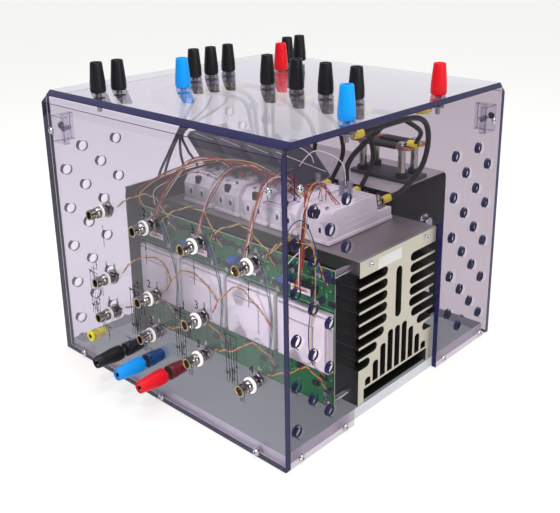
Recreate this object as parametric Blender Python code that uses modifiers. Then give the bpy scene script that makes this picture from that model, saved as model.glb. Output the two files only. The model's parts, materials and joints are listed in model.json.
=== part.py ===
"""Power electronics trainer: a clear case round a forced-air converter stack.

Three transistor half bridges, a brake chopper and a rectifier bridge are
screwed to a finned heatsink, which a fan cools end to end.  A board with four
driver modules stands in front of it, two link capacitors lie behind it, and
coaxial sockets and screw-down terminals bring every signal out through the
clear panels.  The caps of the terminals turn, and so does the fan's rotor.

Metres, +Z up.  The case stands on z = 0 with its front towards -Y, and the
origin is under the middle of the whole object's box.
"""

import bpy
import bmesh
from math import atan2, cos, pi, radians, sin
from mathutils import Matrix, Vector

# Clearances shared by every piece
FIT = 0.0003
OVERRUN = 0.001
WELD = 0.00001

# Devices on the heatsink
DEVICE_COUNT = 4
MODULE_WIDTH = 0.034
MODULE_LENGTH = 0.094
MODULE_HEIGHT = 0.030
MODULE_FLANGE = 0.003
MODULE_INSET = 0.0008
MODULE_STEP_LENGTH = 0.0225
MODULE_STEP_DROP = 0.018
MODULE_NOSE = 0.007
MODULE_GAP = 0.0035
RECTIFIER_WIDTH = 0.040
RECTIFIER_GAP = 0.0055
STUD_SPACING = 0.014
STUD_RADIUS = 0.0022
STUD_HEIGHT = 0.013
STUD_END_INSET = 0.011

# Heatsink, an extrusion that runs along X
SINK_LEFT_MARGIN = 0.0202
SINK_RIGHT_MARGIN = 0.042
SINK_SIDE_MARGIN = 0.010
SINK_HEIGHT = 0.136
SINK_PLATE = 0.0145
FIN_PITCH = 0.0112
FIN_THICKNESS = 0.0024
FIN_ROOT = 0.017
CELL_PITCH = 0.0108
CELL_WALL = 0.0030
SINK_BAR = 0.0022
CHANNEL_HEIGHT = 0.0135
CHANNEL_WALL = 0.008
SINK_SLOT_WIDTH = 0.009
SINK_SLOT_ROOF = 0.0065
SINK_LEG_SHARE = 0.48
SINK_LEG_FOOT = 0.0205
SINK_LEG_WALL = 0.0085
SINK_LIP = 0.002
SINK_END_ROOM = 0.001
SLOT_CORNER_SHARE = 0.96
CELL_CORNER_SHARE = 0.25

# Fan and the plate that it is screwed to
FAN_SIZE = 0.120
FAN_DEPTH = 0.038
FAN_CORNER = 0.006
FAN_BORE_WALL = 0.002
FAN_TIP_ROOM = 0.0015
FAN_HUB_RADIUS = 0.023
FAN_MOUNT_THICKNESS = 0.003
FAN_STRUT_WIDTH = 0.006
FAN_STRUTS = 4
FAN_BLADES = 7
FAN_BLADE_THICKNESS = 0.0018
FAN_BLADE_ANGLE = 35.0
FAN_SCREW_RADIUS = 0.0022
FAN_ROOM = 0.0022
BLADE_LENGTH_SHARE = 0.92
BULKHEAD_THICKNESS = 0.002
BULKHEAD_FRONT = 0.0453
BULKHEAD_RISE = 0.0037
BULKHEAD_CORNER = 0.009

# Link capacitors and the bent sheet over them
CAPACITOR_DIAMETER = 0.074
CAPACITOR_LENGTH = 0.193
CAPACITOR_FOOT = 0.002
CAPACITOR_SADDLE_WIDTH = 0.018
CAPACITOR_SADDLE_INSET = 0.030
CAPACITOR_RIM = 0.0025
CAPACITOR_STUD_RADIUS = 0.006
CAPACITOR_STUD_LENGTH = 0.013
CAPACITOR_NUT_RADIUS = 0.0095
CAPACITOR_NUT_HEIGHT = 0.006
CAPACITOR_END_ROOM = 0.008
COVER_SHEET = 0.002
COVER_SIDE_ROOM = 0.010
COVER_BEND = 0.005
COVER_GAP = 0.0027
COVER_REAR_ROOM = 0.0007

# Link bars on insulating posts over the cover
LINK_BAR_LENGTH = 0.072
LINK_BAR_WIDTH = 0.012
LINK_BAR_THICKNESS = 0.003
LINK_BAR_SPACING = 0.022
LINK_BAR_RISE = 0.030
LINK_POST_RADIUS = 0.006
LINK_STRIP_THICKNESS = 0.004
LINK_RIGHT_INSET = 0.004

# Driver board and its modules
BOARD_THICKNESS = 0.0016
BOARD_BOTTOM = 0.014
BOARD_RISE = 0.001
BOARD_RIGHT_INSET = 0.003
BOARD_STANDOFF = 0.0277
SPACER_RADIUS = 0.004
SPACER_INSET = 0.007
DRIVER_HEIGHT = 0.054
DRIVER_THICKNESS = 0.010
DRIVER_RAISED = 0.002
DRIVER_MARGIN = 0.0024
DRIVER_BOTTOM = 0.032
HEADER_WIDTH = 0.024
HEADER_HEIGHT = 0.008
HEADER_DEPTH = 0.009
HEADER_RISE = 0.012
CHANNEL_SHIFT = 0.0023
RAISED_WIDTH_SHARE = 0.5
RAISED_MARGIN_SHARE = 0.25

# Slanted snubber capacitors
SNUBBER_SLANT = 0.042
SNUBBER_LENGTH = 0.050
SNUBBER_THICKNESS = 0.008
SNUBBER_ANGLE = 45.0
SNUBBER_RISE = 0.0045
SNUBBER_FORWARD = 0.009
SNUBBER_LEG_WIDTH = 0.005
SNUBBER_LEG_THICKNESS = 0.0015
SNUBBER_LIFT_SHARE = 0.7
SNUBBER_LEG_IN_SHARE = 0.3
SNUBBER_LEG_TOP_SHARE = 0.6
SNUBBER_LEG_SPREAD_SHARE = 0.25

# Case
SHEET = 0.005
BASE_THICKNESS = 0.010
FRONT_ROOM = 0.0527
WIRING_ROOM = 0.086
NOTCH_FRONT_MARGIN = 0.012
NOTCH_BACK_MARGIN = 0.0015
NOTCH_TOP_MARGIN = 0.006
VENT_RADIUS = 0.005
VENT_PITCH = 0.020
VENT_LOWEST = 0.028
VENT_FIRST = 0.080
VENT_WALL = 0.006
VENT_BRACKET_ROOM = 0.003
SCREW_RADIUS = 0.0034
SCREW_HEIGHT = 0.0025
SCREW_INSET = 0.013
FRONT_SCREW_SHARE = 0.79
BRACKET_DROP = 0.036
BRACKET_HEIGHT = 0.026
BRACKET_LEG = 0.020
BRACKET_THICKNESS = 0.006

# Coaxial sockets on the front panel
COAX_RADIUS = 0.00485
COAX_MOUTH_RADIUS = 0.0041
COAX_REACH = 0.0135
COAX_MOUTH_DEPTH = 0.0095
COAX_THREAD_RADIUS = 0.00475
COAX_RING_RADIUS = 0.0082
COAX_RING_HEIGHT = 0.002
COAX_NUT_RADIUS = 0.007
COAX_NUT_HEIGHT = 0.003
COAX_TAIL_RADIUS = 0.003
COAX_TAIL_LENGTH = 0.0045
COAX_HOLE_ROOM = 0.0004
COAX_ROW_SHARES = (0.625, 0.3775, 0.2446)
COAX_SHIFT = 0.0015

# Screw-down terminals: a hollow post with a nut, and a cap that turns on it
POST_RADIUS = 0.003
POST_BORE_RADIUS = 0.00205
POST_BORE_DEPTH = 0.018
POST_NUT_RADIUS = 0.006
POST_NUT_HEIGHT = 0.0045
POST_TAIL_LENGTH = 0.008
CAP_HEIGHT = 0.028
CAP_TIP_RADIUS = 0.0050
CAP_FOOT_RADIUS = 0.0066
CAP_FOOT_HEIGHT = 0.011
CAP_BORE_ROOM = 0.0003
CAP_TIP_DROP = 0.0006
FRONT_TERMINAL_SHARE = 0.1105
FRONT_TERMINAL_PITCH = 0.032
FRONT_TERMINAL_SHIFT = 0.026
TOP_TERMINAL_SHARES = (
    ("black_cap_fan_front", "black", -0.675, -0.810),
    ("black_cap_fan_rear", "black", -0.656, -0.677),
    ("blue_cap_rectifier", "blue", -0.403, -0.392),
    ("red_cap_rectifier", "red", -0.370, 0.430),
    ("black_cap_supply_1", "black", -0.630, -0.108),
    ("black_cap_supply_2", "black", -0.617, 0.025),
    ("black_cap_supply_3", "black", -0.617, 0.177),
    ("black_cap_output_1", "black", -0.078, 0.006),
    ("black_cap_output_2", "black", 0.169, 0.000),
    ("black_cap_output_3", "black", 0.403, -0.006),
    ("black_cap_output_4", "black", 0.623, 0.000),
    ("black_cap_sense_front", "black", -0.545, 0.677),
    ("black_cap_sense_rear", "black", -0.545, 0.804),
    ("blue_cap_link", "blue", 0.916, -0.443),
    ("red_cap_link", "red", 0.916, 0.380),
)

# Plain socket low on the left of the front panel
JACK_SHARE = -0.688
JACK_FLANGE_RADIUS = 0.0055
JACK_FLANGE_HEIGHT = 0.0018
JACK_BODY_RADIUS = 0.0039
JACK_BORE_RADIUS = 0.00205
JACK_DEPTH = 0.016
JACK_BORE_DEPTH = 0.012

# Two heavy cables from the chopper module up to the link terminals.
# A route's shares run from its lower lug to its upper one, along X, Y and Z.
CABLE_RADIUS = 0.0025
CABLE_POINTS = 40
LUG_BARREL_RADIUS = 0.0034
LUG_BARREL_LENGTH = 0.012
LUG_TONGUE_RADIUS = 0.0055
LUG_TONGUE_WIDTH = 0.008
LUG_TONGUE_THICKNESS = 0.0016
LUG_REACH = 0.007
LUG_LEAD = 0.0145
LUG_LIFT = 0.0039
LUG_DROP = 0.0085
REAR_CABLE_SHARES = (
    (0.055, -0.056, 0.013), (0.173, -0.102, 0.06), (0.311, -0.144, 0.147),
    (0.477, -0.171, 0.267), (0.621, -0.178, 0.42), (0.721, -0.159, 0.584),
    (0.799, -0.111, 0.737), (0.865, -0.02, 0.868), (0.91, 0.114, 0.95),
    (0.954, 0.297, 0.988), (0.987, 0.507, 0.999), (1.001, 0.737, 1),
)
FRONT_CABLE_SHARES = (
    (-0.032, -0.043, 0.013), (-0.068, -0.193, 0.087), (-0.039, -0.488, 0.202),
    (0.039, -0.913, 0.344), (0.182, -1.24, 0.486), (0.355, -1.338, 0.617),
    (0.529, -1.175, 0.748), (0.687, -0.749, 0.879), (0.798, -0.16, 0.966),
    (0.892, 0.494, 1),
)
LINK_CABLES = (
    ("link_cable_rear", 1, 90.0, "blue_cap_link", 90.0, REAR_CABLE_SHARES),
    ("link_cable_front", 0, 180.0, "red_cap_link", 225.0, FRONT_CABLE_SHARES),
)

# How finely round pieces are cut
VENT_SIDES = 8
ROUND_SIDES = 10
BODY_SIDES = 28
COAX_SIDES = 9

# Layout that follows from the sizes above, across the case
device_row = (SINK_LEFT_MARGIN + RECTIFIER_WIDTH + RECTIFIER_GAP
              + DEVICE_COUNT * (MODULE_WIDTH + MODULE_GAP) - MODULE_GAP
              + SINK_RIGHT_MARGIN)
fan_stack = FAN_ROOM + FAN_DEPTH + FIT + BULKHEAD_THICKNESS + FIT
cover_length = CAPACITOR_END_ROOM + CAPACITOR_LENGTH + FIT + COVER_SHEET
cover_reach = cover_length + CAPACITOR_STUD_LENGTH + SINK_END_ROOM
inner_width = fan_stack + max(device_row + SINK_END_ROOM, cover_reach)
case_width = inner_width + 2 * SHEET
LEFT_X = -case_width / 2
RIGHT_X = case_width / 2
INNER_LEFT = LEFT_X + SHEET
INNER_RIGHT = RIGHT_X - SHEET
fan_left = INNER_LEFT + FAN_ROOM
fan_right = fan_left + FAN_DEPTH
bulkhead_left = fan_right + FIT
bulkhead_right = bulkhead_left + BULKHEAD_THICKNESS
sink_left = bulkhead_right + FIT
sink_right = sink_left + device_row
cover_right = sink_left + cover_length
board_right = sink_right - BOARD_RIGHT_INSET
board_width = board_right - sink_left
channel_pitch = board_width / DEVICE_COUNT

# Layout from front to back
sink_width = MODULE_LENGTH + 2 * SINK_SIDE_MARGIN
cover_depth = CAPACITOR_DIAMETER + 2 * COVER_SIDE_ROOM
driver_depth = DRIVER_THICKNESS + DRIVER_RAISED + FIT
inner_depth = (FRONT_ROOM + driver_depth + BOARD_THICKNESS + BOARD_STANDOFF
               + sink_width + COVER_GAP + cover_depth + COVER_REAR_ROOM)
case_depth = inner_depth + 2 * SHEET
CASE_Y = (CAP_HEIGHT + FIT - SCREW_HEIGHT) / 2
FRONT_Y = CASE_Y - case_depth / 2
REAR_Y = CASE_Y + case_depth / 2
INNER_FRONT = FRONT_Y + SHEET
INNER_REAR = REAR_Y - SHEET
board_front = INNER_FRONT + FRONT_ROOM + driver_depth
board_rear = board_front + BOARD_THICKNESS
sink_front = board_rear + BOARD_STANDOFF
sink_rear = sink_front + sink_width
sink_y = (sink_front + sink_rear) / 2
cover_front = sink_rear + COVER_GAP
cover_rear = cover_front + cover_depth
cover_y = (cover_front + cover_rear) / 2

# Layout from the base up
sink_base = BASE_THICKNESS + FIT
sink_top = sink_base + SINK_HEIGHT
device_base = sink_top + FIT
device_top = device_base + MODULE_HEIGHT
step_top = device_top - MODULE_STEP_DROP
fan_z = max((sink_base + sink_top) / 2, sink_base + FAN_SIZE / 2)
capacitor_radius = CAPACITOR_DIAMETER / 2
lower_capacitor_z = sink_base + CAPACITOR_FOOT + capacitor_radius
upper_capacitor_z = lower_capacitor_z + CAPACITOR_DIAMETER + FIT + CAPACITOR_FOOT
cover_top = upper_capacitor_z + capacitor_radius + CAPACITOR_FOOT + COVER_SHEET
case_height = (max(device_top, cover_top, fan_z + FAN_SIZE / 2)
               + WIRING_ROOM + SHEET)
INNER_TOP = case_height - SHEET
notch_front = sink_front - NOTCH_FRONT_MARGIN
notch_rear = sink_rear + NOTCH_BACK_MARGIN
notch_top = sink_top + NOTCH_TOP_MARGIN
bracket_z = case_height - BRACKET_DROP

for old in list(bpy.data.objects):
    bpy.data.objects.remove(old, do_unlink=True)

pieces = bpy.data.collections.new("power_electronics_trainer")
cutters = bpy.data.collections.new("cutters")
bpy.context.scene.collection.children.link(pieces)
bpy.context.scene.collection.children.link(cutters)


def finish(name, colour, roughness, metallic=0.0, alpha=1.0):
    """A material with the surface's colour, roughness and metal."""
    material = bpy.data.materials.new(name)
    material.use_nodes = True
    shader = material.node_tree.nodes["Principled BSDF"]
    shader.inputs["Base Color"].default_value = (*colour, 1.0)
    shader.inputs["Roughness"].default_value = roughness
    shader.inputs["Metallic"].default_value = metallic
    shader.inputs["Alpha"].default_value = alpha
    return material


CLEAR = finish("clear_sheet", (0.72, 0.70, 0.78), 0.08, 0.0, 0.35)
SINK = finish("sink_aluminium", (0.74, 0.72, 0.62), 0.40, 1.0)
BLACK_STEEL = finish("black_steel", (0.02, 0.02, 0.025), 0.45)
DARK_PLASTIC = finish("dark_plastic", (0.025, 0.025, 0.03), 0.50)
CAN = finish("capacitor_can", (0.10, 0.12, 0.20), 0.35)
BOARD = finish("board_green", (0.05, 0.22, 0.11), 0.45)
WHITE = finish("white_plastic", (0.78, 0.77, 0.80), 0.45)
GREY = finish("grey_plastic", (0.07, 0.075, 0.085), 0.50)
COPPER = finish("copper", (0.55, 0.30, 0.18), 0.35, 1.0)
NICKEL = finish("nickel", (0.72, 0.71, 0.68), 0.22, 1.0)
CABLE_BLACK = finish("cable_black", (0.015, 0.015, 0.018), 0.50)
YELLOW = finish("yellow_plastic", (0.85, 0.72, 0.10), 0.40)
CAP_COLOURS = {
    "black": finish("cap_black", (0.015, 0.015, 0.018), 0.35),
    "blue": finish("cap_blue", (0.01, 0.25, 0.75), 0.35),
    "red": finish("cap_red", (0.65, 0.02, 0.03), 0.35),
}


def keep(obj, name, material):
    """Name a finished piece, give it its finish and file it with the object."""
    obj.name = name
    obj.data.name = name
    obj.data.materials.clear()
    obj.data.materials.append(material)
    for collection in list(obj.users_collection):
        collection.objects.unlink(obj)
    pieces.objects.link(obj)
    return obj


def hide(obj):
    """File a cutter or a joined shape away from the finished pieces."""
    for collection in list(obj.users_collection):
        collection.objects.unlink(obj)
    cutters.objects.link(obj)
    obj.hide_render = True
    obj.display_type = "WIRE"
    return obj


def box(low, high):
    """A block between two corners."""
    low, high = Vector(low), Vector(high)
    bpy.ops.mesh.primitive_cube_add(size=1, location=(low + high) / 2)
    obj = bpy.context.object
    obj.scale = high - low
    bpy.ops.object.transform_apply(location=False, rotation=False, scale=True)
    return obj


def rod(start, end, radius, sides=ROUND_SIDES):
    """A round bar between two points."""
    start, end = Vector(start), Vector(end)
    along = end - start
    bpy.ops.mesh.primitive_cylinder_add(
        vertices=sides, radius=radius, depth=along.length, location=(start + end) / 2)
    obj = bpy.context.object
    obj.rotation_mode = "QUATERNION"
    obj.rotation_quaternion = along.to_track_quat("Z", "Y")
    return obj


def circle(u, v, radius, sides, turn=0.0):
    """Points round a circle in an outline's plane."""
    steps = [turn + 2 * pi * step / sides for step in range(sides)]
    return [(u + radius * cos(a), v + radius * sin(a)) for a in steps]


def rounded(u0, v0, u1, v1, radius, steps=4):
    """A rectangle with round corners."""
    outline = []
    for u, v, turn in ((u1, v1, 0), (u0, v1, 1), (u0, v0, 2), (u1, v0, 3)):
        middle_u = u - radius if u == u1 else u + radius
        middle_v = v - radius if v == v1 else v + radius
        for step in range(steps + 1):
            a = (turn + step / steps) * pi / 2
            outline.append((middle_u + radius * cos(a), middle_v + radius * sin(a)))
    return outline


PLANES = {
    "X": ((0, 1, 0), (0, 0, 1), (1, 0, 0)),
    "Y": ((1, 0, 0), (0, 0, 1), (0, -1, 0)),
    "Z": ((1, 0, 0), (0, 1, 0), (0, 0, 1)),
}


def solid_from_curve(obj):
    """Turn a filled curve into a closed mesh and drop the curve."""
    bpy.context.view_layer.update()
    evaluated = obj.evaluated_get(bpy.context.evaluated_depsgraph_get())
    mesh = bpy.data.meshes.new_from_object(evaluated)
    shell = bmesh.new()
    shell.from_mesh(mesh)
    bmesh.ops.remove_doubles(shell, verts=shell.verts, dist=WELD)
    bmesh.ops.recalc_face_normals(shell, faces=shell.faces)
    shell.to_mesh(mesh)
    shell.free()
    solid = bpy.data.objects.new("solid", mesh)
    solid.matrix_world = obj.matrix_world
    bpy.context.scene.collection.objects.link(solid)
    bpy.data.objects.remove(obj, do_unlink=True)
    return solid


def prism(axis, start, end, outline, holes=()):
    """A flat outline, with any holes, carried along an axis."""
    curve = bpy.data.curves.new("outline", "CURVE")
    curve.dimensions = "2D"
    curve.fill_mode = "BOTH"
    curve.extrude = abs(end - start) / 2
    for points in (outline, *holes):
        spline = curve.splines.new("POLY")
        spline.points.add(len(points) - 1)
        for point, (u, v) in zip(spline.points, points):
            point.co = (u, v, 0, 1)
        spline.use_cyclic_u = True
    obj = bpy.data.objects.new("outline", curve)
    across, up, along = (Vector(v) for v in PLANES[axis])
    turn = Matrix((across, up, along)).transposed().to_4x4()
    middle = Vector([abs(v) for v in along]) * (start + end) / 2
    obj.matrix_world = Matrix.Translation(middle) @ turn
    bpy.context.scene.collection.objects.link(obj)
    return solid_from_curve(obj)


def turned(profile, sides, closed=False):
    """A profile of radii and heights, listed from its tip down, spun about Z."""
    mesh = bpy.data.meshes.new("profile")
    points = [(radius, 0, height) for radius, height in profile]
    edges = [(i, i + 1) for i in range(len(points) - 1)]
    if closed:
        edges.append((len(points) - 1, 0))
    mesh.from_pydata(points, edges, [])
    obj = bpy.data.objects.new("turned", mesh)
    bpy.context.scene.collection.objects.link(obj)
    screw = obj.modifiers.new("spin", "SCREW")
    screw.steps = sides
    screw.render_steps = sides
    screw.use_merge_vertices = True
    screw.merge_threshold = WELD
    screw.use_smooth_shade = False
    return obj


def face_front(obj):
    """Turn a piece made along +Z so that it points out of the front."""
    obj.rotation_euler = (radians(90), 0, 0)
    return obj


def together(shapes):
    """Several shapes that do not touch, as one hidden mesh."""
    bpy.context.view_layer.update()
    graph = bpy.context.evaluated_depsgraph_get()
    joined = bmesh.new()
    for shape in shapes:
        mesh = bpy.data.meshes.new_from_object(shape.evaluated_get(graph))
        mesh.transform(shape.matrix_world)
        joined.from_mesh(mesh)
        bpy.data.meshes.remove(mesh)
    for shape in shapes:
        bpy.data.objects.remove(shape, do_unlink=True)
    mesh = bpy.data.meshes.new("together")
    joined.to_mesh(mesh)
    joined.free()
    obj = bpy.data.objects.new("together", mesh)
    bpy.context.scene.collection.objects.link(obj)
    return hide(obj)


def combine(obj, shapes, operation, solver="EXACT"):
    """Add shapes to a piece, or cut them from it."""
    tool = together(shapes)
    modifier = obj.modifiers.new(operation.lower(), "BOOLEAN")
    modifier.operation = operation
    modifier.solver = solver
    modifier.object = tool
    return obj


def screw_heads(spots, out):
    """Pan heads seated in the outer face of a panel."""
    out = Vector(out)
    return [rod(Vector(spot) - out * OVERRUN, Vector(spot) + out * SCREW_HEIGHT, SCREW_RADIUS)
            for spot in spots]


# Base plate
def make_base():
    base = box((INNER_LEFT + FIT, INNER_FRONT + FIT, 0),
               (INNER_RIGHT - FIT, INNER_REAR - FIT, BASE_THICKNESS))
    return keep(base, "base_plate", CLEAR)


# Front and rear panels, cut at 45 degrees along their top edge
def upright(outer, inner, holes):
    """A full-width panel with its holes and a mitred top edge."""
    outline = [(LEFT_X, 0), (RIGHT_X, 0), (RIGHT_X, INNER_TOP - FIT), (LEFT_X, INNER_TOP - FIT)]
    panel = prism("Y", outer, inner, outline, holes)
    out = 1 if outer > inner else -1
    mitre = prism("X", LEFT_X - OVERRUN, RIGHT_X + OVERRUN, [
        (outer - out * (SHEET + OVERRUN), INNER_TOP + OVERRUN),
        (outer + out * OVERRUN, INNER_TOP - SHEET - OVERRUN),
        (outer + out * OVERRUN, INNER_TOP + OVERRUN)])
    return combine(panel, [mitre], "DIFFERENCE", "MANIFOLD")


def panel_screws(y):
    """Where the front or rear panel is screwed to the base and the brackets."""
    low = BASE_THICKNESS / 2
    reach = FRONT_SCREW_SHARE * RIGHT_X
    spots = [(x, y, low) for x in (-reach, 0, reach)]
    return spots + [(x, y, bracket_z) for x in (LEFT_X + SCREW_INSET, RIGHT_X - SCREW_INSET)]


def channel_x(index):
    """The middle of one driver channel on the board."""
    return sink_left + CHANNEL_SHIFT + (index + 1 / 2) * channel_pitch


def coax_places():
    """Where the coaxial sockets pass the front panel, as names, x and z."""
    top, middle, bottom = COAX_ROW_SHARES
    places = []
    for index in range(DEVICE_COUNT):
        rows = [(1, top), (2, middle), (3, bottom)]
        if index == DEVICE_COUNT - 1:
            rows.remove((2, middle))
        for row, share in rows:
            places.append((f"coax_socket_{row}{index + 1}", channel_x(index) + COAX_SHIFT,
                           share * case_height))
    return places


def front_terminal_places():
    """The three terminals low on the front panel, as names, colours and x."""
    colours = ("black", "blue", "red")
    return [(f"{colour}_cap_front", colour,
             (step - 1) * FRONT_TERMINAL_PITCH - FRONT_TERMINAL_SHIFT)
            for step, colour in enumerate(colours)]


def terminal_z():
    """Height of the row of terminals and the plain socket."""
    return FRONT_TERMINAL_SHARE * case_height


def make_front_panel():
    holes = [circle(x, z, COAX_THREAD_RADIUS + COAX_HOLE_ROOM, ROUND_SIDES)
             for name, x, z in coax_places()]
    holes.append(circle(JACK_SHARE * RIGHT_X, terminal_z(),
                        JACK_BODY_RADIUS + COAX_HOLE_ROOM, ROUND_SIDES))
    panel = upright(FRONT_Y, INNER_FRONT, holes)
    posts = []
    for name, colour, x in front_terminal_places():
        stem = face_front(post())
        stem.location = (x, FRONT_Y, terminal_z())
        posts.append(stem)
    heads = screw_heads(panel_screws(FRONT_Y), (0, -1, 0))
    combine(panel, posts + heads, "UNION", "MANIFOLD")
    return keep(panel, "front_panel", CLEAR)


def make_rear_panel():
    panel = upright(REAR_Y, INNER_REAR, [])
    combine(panel, screw_heads(panel_screws(REAR_Y), (0, 1, 0)), "UNION", "MANIFOLD")
    return keep(panel, "rear_panel", CLEAR)


# Terminals
def post():
    """A hollow threaded post, its nut inside the panel and its tail."""
    tip = CAP_HEIGHT - CAP_TIP_DROP
    nut = -SHEET - POST_NUT_HEIGHT
    return turned([
        (0, tip - POST_BORE_DEPTH), (POST_BORE_RADIUS, tip - POST_BORE_DEPTH),
        (POST_BORE_RADIUS, tip), (POST_RADIUS, tip),
        (POST_RADIUS, -SHEET + OVERRUN), (POST_NUT_RADIUS, -SHEET + OVERRUN),
        (POST_NUT_RADIUS, nut), (STUD_RADIUS, nut),
        (STUD_RADIUS, nut - POST_TAIL_LENGTH), (0, nut - POST_TAIL_LENGTH)], ROUND_SIDES)


def cap():
    """A tapered cap with a bore for its post, broad where fingers grip it."""
    bore = POST_RADIUS + CAP_BORE_ROOM
    return turned([
        (bore, CAP_HEIGHT + FIT), (CAP_TIP_RADIUS, CAP_HEIGHT + FIT),
        (CAP_FOOT_RADIUS, CAP_FOOT_HEIGHT), (CAP_FOOT_RADIUS, FIT), (bore, FIT)],
        ROUND_SIDES, closed=True)


def make_caps():
    for name, colour, x_share, y_share in TOP_TERMINAL_SHARES:
        piece = cap()
        piece.location = top_place(x_share, y_share)
        keep(piece, name, CAP_COLOURS[colour])
    for name, colour, x in front_terminal_places():
        piece = face_front(cap())
        piece.location = (x, FRONT_Y, terminal_z())
        keep(piece, name, CAP_COLOURS[colour])


def top_place(x_share, y_share):
    """A spot on the top panel from shares of the case's half width and depth."""
    return (x_share * RIGHT_X, CASE_Y + y_share * case_depth / 2, case_height)


# Top panel, full width, with mitred front and rear edges
def make_top_panel():
    outline = [(FRONT_Y + SHEET, INNER_TOP), (REAR_Y - SHEET, INNER_TOP),
               (REAR_Y - 2 * SHEET, case_height), (FRONT_Y + 2 * SHEET, case_height)]
    panel = prism("X", LEFT_X, RIGHT_X, outline)
    posts = []
    for name, colour, x_share, y_share in TOP_TERMINAL_SHARES:
        stem = post()
        stem.location = top_place(x_share, y_share)
        posts.append(stem)
    combine(panel, posts, "UNION")
    return keep(panel, "top_panel", CLEAR)


# Side panels: vent holes in a staggered grid, a notch where the air passes
def vent_places():
    """Middles of the vent holes that fit the panel and clear its notch."""
    spots = []
    reach = case_depth / 2 - SHEET - VENT_RADIUS - VENT_WALL
    highest = bracket_z - BRACKET_HEIGHT / 2 - VENT_RADIUS - VENT_BRACKET_ROOM
    column = 0
    while VENT_FIRST + column * VENT_PITCH <= reach:
        offset = VENT_FIRST + column * VENT_PITCH
        z = VENT_LOWEST + (VENT_PITCH if column % 2 == 0 else 0)
        while z <= highest:
            for y in (CASE_Y - offset, CASE_Y + offset):
                near = VENT_RADIUS + VENT_WALL
                beside = notch_front - near < y < notch_rear + near
                if not (beside and z < notch_top + near):
                    spots.append((y, z))
            z += 2 * VENT_PITCH
        column += 1
    return spots


def make_side_panel(name, outer, inner):
    front, rear, top = INNER_FRONT + FIT, INNER_REAR - FIT, INNER_TOP - FIT
    outline = [(front, 0), (notch_front, 0), (notch_front, notch_top), (notch_rear, notch_top),
               (notch_rear, 0), (rear, 0), (rear, top), (front, top)]
    holes = [circle(y, z, VENT_RADIUS, VENT_SIDES) for y, z in vent_places()]
    panel = prism("X", outer, inner, outline, holes)
    out = 1 if outer > inner else -1
    low = BASE_THICKNESS / 2
    spots = [(outer, y, low) for y in (front + SCREW_INSET, notch_front - SCREW_INSET,
                                       notch_rear + SCREW_INSET, rear - SCREW_INSET)]
    spots += [(outer, y, bracket_z) for y in (front + SCREW_INSET, rear - SCREW_INSET)]
    extras = screw_heads(spots, (out, 0, 0))
    bottom, crown = bracket_z - BRACKET_HEIGHT / 2, bracket_z + BRACKET_HEIGHT / 2
    for y, inward in ((front, 1), (rear, -1)):
        root = inner + out * OVERRUN
        far = inner - out * BRACKET_LEG
        near = inner - out * BRACKET_THICKNESS
        corner = [(root, y), (far, y), (far, y + inward * BRACKET_THICKNESS),
                  (near, y + inward * BRACKET_THICKNESS), (near, y + inward * BRACKET_LEG),
                  (root, y + inward * BRACKET_LEG)]
        extras.append(prism("Z", bottom, crown, corner))
    combine(panel, extras, "UNION", "MANIFOLD")
    return keep(panel, name, CLEAR)


# Heatsink
def leg_height(y):
    """Height of the slanting legs' upper line at a distance from the middle."""
    crown = SINK_LEG_SHARE * SINK_HEIGHT
    run = sink_width / 2 - FIN_ROOT
    return crown - (y - FIN_ROOT) * (crown - SINK_LEG_FOOT) / run


def fin_slots():
    """Middles and inner ends of the slots down one side of the heatsink."""
    half = sink_width / 2
    crown = SINK_LEG_SHARE * SINK_HEIGHT
    slope = (half - FIN_ROOT) / (crown - SINK_LEG_FOOT)
    reach = (FIN_PITCH - FIN_THICKNESS) / 2
    slots = []
    z = SINK_HEIGHT - SINK_PLATE - reach
    while z - FIN_PITCH > CHANNEL_HEIGHT:
        root = FIN_ROOT + max(0, crown - z) * slope
        if root + reach + SINK_LIP > half:
            break
        slots.append((z, root))
        z -= FIN_PITCH
    return slots


def sink_side(sign):
    """One side of the end outline, from the top corner down to the foot."""
    half = sink_width / 2
    points = [(sign * half, SINK_HEIGHT)]
    reach = (FIN_PITCH - FIN_THICKNESS) / 2
    for z, root in fin_slots():
        points.append((sign * half, z + reach))
        for a in (90, 135, 180, 225, 270):
            bulge = root + reach + reach * cos(radians(a))
            points.append((sign * bulge, z + reach * sin(radians(a))))
        points.append((sign * half, z - reach))
    points += [(sign * half, 0), (sign * (half - CHANNEL_WALL), 0),
               (sign * (half - CHANNEL_WALL), CHANNEL_HEIGHT)]
    return points


def sink_cells():
    """Closed cells over the bottom bar, tallest in the middle, and the slot over them."""
    floor = CHANNEL_HEIGHT + SINK_BAR
    half_width = (CELL_PITCH - CELL_WALL) / 2
    chamfer = 2 * half_width * CELL_CORNER_SHARE
    peak = leg_height(FIN_ROOT) - SINK_LEG_WALL
    cells = []
    count = int((sink_width / 2 - CHANNEL_WALL - half_width) / CELL_PITCH)
    for step in range(-count, count + 1):
        middle = step * CELL_PITCH
        top = min(peak, leg_height(abs(middle) + half_width) - SINK_LEG_WALL)
        if top < floor + CELL_WALL:
            continue
        left, right = middle - half_width, middle + half_width
        cells.append([(left, floor), (right, floor), (right, top - chamfer),
                      (right - chamfer, top), (left + chamfer, top), (left, top - chamfer)])
    slot = SINK_SLOT_WIDTH / 2
    roof = SINK_HEIGHT - SINK_PLATE - SINK_SLOT_ROOF
    cells.append(rounded(-slot, peak + SINK_SLOT_WIDTH, slot, roof, slot * SLOT_CORNER_SHARE, 3))
    return cells


def make_heatsink():
    right = sink_side(1)
    left = sink_side(-1)[::-1]
    outline = [(sink_y + y, sink_base + z) for y, z in left + right]
    holes = [[(sink_y + y, sink_base + z) for y, z in cell] for cell in sink_cells()]
    sink = prism("X", sink_left, sink_right, outline, holes)
    return keep(sink, "heatsink", SINK)


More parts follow.
